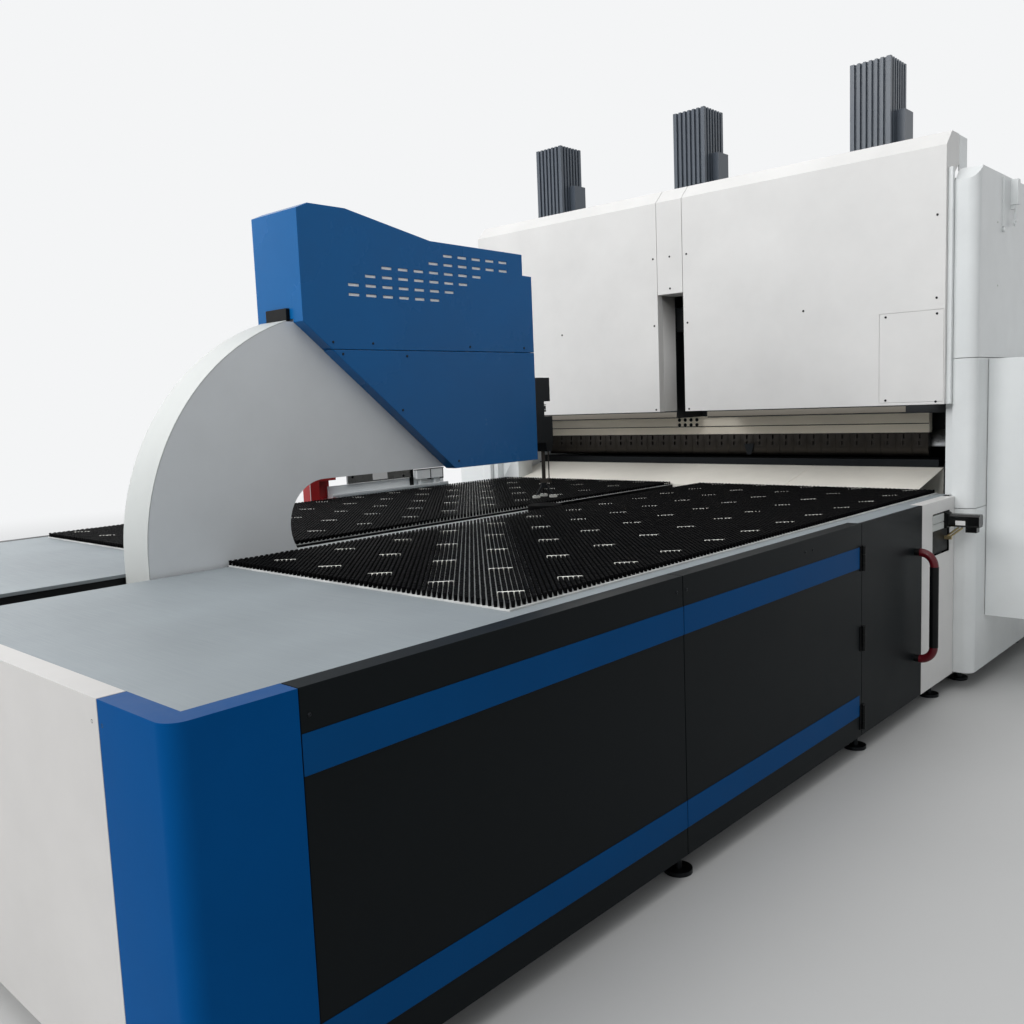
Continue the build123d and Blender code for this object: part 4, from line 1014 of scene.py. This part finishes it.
# %% The guide's bar and its fittings
guide_low, guide_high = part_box("guide_channel")
guide_left, guide_right = guide_low.x * 1000 + 20, guide_high.x * 1000 - 6
bar_depth = (2625, face_of("guide_bar", 1, 1))
deck_z, tray_z = 951, 957  # under and over the tray's 6 mm floor
flange = 5
bar = [
    span((guide_left, guide_right), bar_depth, (deck_z, tray_z)),
    span((guide_left, guide_left + flange), bar_depth, (tray_z, 1034)),
    span((guide_right - flange, guide_right), bar_depth, (tray_z, 988)),
]
for start in (2790, 3060, 3330, 3540):
    bar.append(span((guide_left + flange, guide_right - flange), (start, start + 46), (tray_z, 968)))
guide_bar = add_boxes("guide_bar_channel", bar, light_grey, slot="light_grey_paint", soft=0.0012)
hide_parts("guide_bar")
back_x = (guide_left + flange, guide_left + 19)
add_boxes(
    "guide_back_plate",
    [span(back_x, (2766, 3274), (1036, 1094))],
    ground_steel,
    slot="tool_steel",
)
add_boxes(
    "guide_blank_plate",
    [span((back_x[1], back_x[1] + sheet), (2957, 3072), (1044, 1097))],
    white,
    slot="white_paint",
    soft=0.0012,
)
add_screws(
    "guide_screws",
    [at(back_x[1], depth, z) for depth, z in ((2802, 1076), (3204, 1052))],
    (1, 0, 0),
    black_steel,
    size=1.8,
    slot="blackened_steel",
)

# %% The guide's post and housings
housing_x, leg_x = (guide_left + 4, guide_left + 38), (guide_left + 8, guide_left + 30)
bridge_x = (guide_left + 2, guide_left + 40)
housing_low, housing_top = 1019, 1076
add_boxes(
    "guide_post",
    [
        span((guide_left + 4, guide_left + 26), (3265, 3282), (984, 1120)),
        span(bridge_x, (3300, 3536), (1077, 1081)),
        span(bridge_x, (3418, 3421), (1010, 1077)),
        span(bridge_x, (3526, 3530), (1010, 1077)),
    ],
    black_nylon,
    slot="black_plastic",
    soft=0.0008,
)
add_boxes(
    "guide_housings",
    [span(housing_x, depth, (housing_low, housing_top)) for depth in ((3302, 3416), (3423, 3524))]
    + [span(leg_x, depth, (tray_z, housing_low)) for depth in ((3330, 3352), (3452, 3474))],
    light_grey,
    slot="light_grey_paint",
)
# the channel's cut edges in front are bare metal
edge_depth = (2466, 2468.5)
edges = [
    span((guide_low.x * 1000 + 2, guide_high.x * 1000 - 1), edge_depth, (deck_z, tray_z)),
    span((guide_high.x * 1000 - 4, guide_high.x * 1000), edge_depth, (tray_z, 1090)),
]
add_boxes("guide_channel_edges", edges, aluminium, slot="stainless", soft=0.0006)
print("guide bar:", round(bar_depth[1] - bar_depth[0]), "mm long")


# %% [markdown]
# ## The drive unit in the end panel
# A light gearbox hangs in the top of the opening, and its motor stands out to the right with a blank
# type plate on it. Below the gearbox the opening is closed by a black plate.

# %% The gearbox and the motor's blank plate
gear = [[face_of("drive_gearbox", end, axis) for end in (0, 1)] for axis in range(3)]
gear_x, gear_depth, gear_z = gear
motor_left, motor_depth = face_of("drive_motor", 0, 0), face_of("drive_motor", 0, 1)
motor_top = face_of("drive_motor", 1, 2)
middle_z = gear_z[1] - 72  # the light housing ends here, and the black plate starts
body_x, body_depth = (gear_x[0], gear_x[1] - 15), (gear_depth[0], motor_depth - 10)
groove_x, groove_depth = (gear_x[0], gear_x[1] - 20), (gear_depth[0] + 2, motor_depth - 12)
flange_x = gear_x[1] - 4  # the motor's flange stands in front of this
gearbox = [
    span(body_x, body_depth, (middle_z + 34, gear_z[1])),
    span(body_x, body_depth, (middle_z, middle_z + 31)),
    span(groove_x, groove_depth, (middle_z + 2, gear_z[1] - 2)),
]
# the housing takes the top covers' darker grey as painted shade, for the shade in the opening
gearbox = add_boxes("drive_gearbox_housing", gearbox, top_grey, slot="light_grey_paint", soft=0.002)
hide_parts("drive_gearbox")
add_boxes(
    "drive_plate",
    [
        span((gear_x[0], gear_x[0] + 8), gear_depth, (gear_z[0], middle_z - 2)),
        span((gear_x[0], flange_x), (motor_depth - 8, gear_depth[1]), (middle_z, gear_z[1])),
        span((flange_x, gear_x[1]), (motor_depth - 2, gear_depth[1]), (middle_z + 8, gear_z[1] - 4)),
    ],
    black_nylon,
    slot="black_plastic",
)
add_boxes(
    "motor_blank_plate",
    [
        span(
            (motor_left + 32, motor_left + 76),
            (motor_depth - 0.8, motor_depth + 2),
            (motor_top - 50, motor_top - 29),
        )
    ],
    white,
    slot="white_paint",
    soft=0.0004,
)
print("gearbox:", [round(z) for z in gear_z], "mm up, motor", round(motor_left), "mm across")


# %% [markdown]
# ## Floor, light and camera
# The machine stands on a plain pale floor in soft light from large lamps. The camera is where the
# photograph was taken from, as worked out from it: 1.48 m up, close to the front right corner, with a
# fairly wide lens. A narrow lamp in the bending opening lights the sloping apron, which the covers
# would leave dark. It is there for this scene's light and isn't copied from the machine.

# %% Floor and world
backdrop = linear("#F4F5F6")


def seen_directly(material):
    """1 for rays from the camera, from gloss and through glass, and 0 for rays of soft light."""
    path = add_node(material, "ShaderNodeLightPath")
    pair = add_node(
        material,
        "ShaderNodeMath",
        {0: path.outputs["Is Camera Ray"], 1: path.outputs["Is Glossy Ray"]},
        operation="MAXIMUM",
    )
    return add_node(
        material,
        "ShaderNodeMath",
        {0: pair.outputs["Value"], 1: path.outputs["Is Transmission Ray"]},
        operation="MAXIMUM",
    ).outputs["Value"]


def pale_floor():
    """A matt pale floor that keeps the object's shadow and runs out into the backdrop far away."""
    material, output = new_material("studio_floor_pale")
    place = add_node(material, "ShaderNodeTexCoord").outputs["Object"]
    cloud = add_node(material, "ShaderNodeTexNoise", {"Vector": place, "Scale": 0.8, "Detail": 4})
    tone = ramp(material, cloud.outputs["Fac"], [(0.3, linear("#C6C6C5")), (0.7, linear("#CACAC9"))])
    skin = add_node(material, "ShaderNodeBsdfPrincipled", {"Base Color": tone, "Roughness": 0.6})
    distance = add_node(material, "ShaderNodeVectorMath", {0: place}, operation="LENGTH")
    far = add_node(
        material,
        "ShaderNodeMapRange",
        {"Value": distance.outputs["Value"], 1: 5.5, 2: 13.0, 3: 0.0, 4: 1.0},
        interpolation_type="SMOOTHSTEP",
    )
    share = add_node(
        material,
        "ShaderNodeMath",
        {0: far.outputs["Result"], 1: seen_directly(material)},
        operation="MULTIPLY",
    )
    glow = add_node(material, "ShaderNodeEmission", {"Color": backdrop, "Strength": 1.0})
    blend = add_node(
        material,
        "ShaderNodeMixShader",
        {0: share.outputs["Value"], 1: skin.outputs[0], 2: glow.outputs[0]},
    )
    add_link(material, blend, output)
    return material


reach = 60
floor_mesh = bpy.data.meshes.new("studio_floor")
corners = [(-reach, -reach, 0), (reach, -reach, 0), (reach, reach, 0), (-reach, reach, 0)]
floor_mesh.from_pydata(corners, [], [(0, 1, 2, 3)])
floor_mesh.materials.append(pale_floor())
floor = bpy.data.objects.new("studio_floor", floor_mesh)
bpy.context.scene.collection.objects.link(floor)

world = bpy.data.worlds.new("studio")
bpy.context.scene.world = world
world.use_nodes = True
world.node_tree.nodes.clear()
soft = add_node(world, "ShaderNodeBackground", {"Color": linear("#E9ECEF"), "Strength": 0.42})
white_wall = add_node(world, "ShaderNodeBackground", {"Color": backdrop, "Strength": 1.0})
sky = add_node(
    world,
    "ShaderNodeMixShader",
    {0: seen_directly(world), 1: soft.outputs[0], 2: white_wall.outputs[0]},
)
add_link(world, sky, add_node(world, "ShaderNodeOutputWorld"))
print("floor and world ready")


# %% Lamps
def soft_lamp(name, place, target, size, power):
    """A large rectangular lamp aimed at a point."""
    light = bpy.data.lights.new(name, "AREA")
    light.shape = "RECTANGLE"
    light.size, light.size_y = size
    light.energy = power
    lamp = bpy.data.objects.new(name, light)
    lamp.location = place
    lamp.rotation_euler = (Vector(target) - Vector(place)).to_track_quat("-Z", "Y").to_euler()
    bpy.context.scene.collection.objects.link(lamp)


soft_lamp("front_light", (-1.0, -11.5, 7.4), (0, 0.9, 1.4), (10, 5), 950)
soft_lamp("roof_light", (0.5, -1.0, 9.0), (0, 0, 0.8), (9, 12), 320)
soft_lamp("door_light", (11.0, -5.0, 6.0), (0.5, -0.5, 1.0), (6, 4), 18)
soft_lamp("left_light", (-9.0, -2.0, 5.0), (0, 0, 1.2), (7, 4), 200)
soft_lamp("rear_light", (-3.0, 10.0, 6.0), (0, 1, 1.2), (7, 4), 220)
soft_lamp("opening_light", (0, 1.03, 1.385), (0, 1.15, 1.0), (2.8, 0.12), 2)
print("lamps ready")

# %% Camera
yaw, pitch, roll = math.radians(42.77), math.radians(-6.51), math.radians(-2.31)
ahead = Vector((-math.sin(yaw) * math.cos(pitch), math.cos(yaw) * math.cos(pitch), math.sin(pitch)))
level = Vector((math.cos(yaw), math.sin(yaw), 0))
upright = level.cross(ahead)
right = math.cos(roll) * level + math.sin(roll) * upright
up = -math.sin(roll) * level + math.cos(roll) * upright
camera = bpy.data.objects.new("photo_camera", bpy.data.cameras.new("photo_camera"))
place = Matrix.Translation((3.0788, -3.8552, 1.4793))
camera.matrix_world = place @ Matrix((right, up, -ahead)).transposed().to_4x4()
# the photograph is 1024 pixels wide, and its focal length is 955.43 of its pixels
camera.data.sensor_width = 36
camera.data.lens = 955.43 / 1024 * camera.data.sensor_width
camera.data.clip_end = 200
bpy.context.scene.collection.objects.link(camera)
bpy.context.scene.camera = camera
bpy.context.scene.view_settings.view_transform = "Standard"
print("lens:", round(camera.data.lens, 2), "mm")
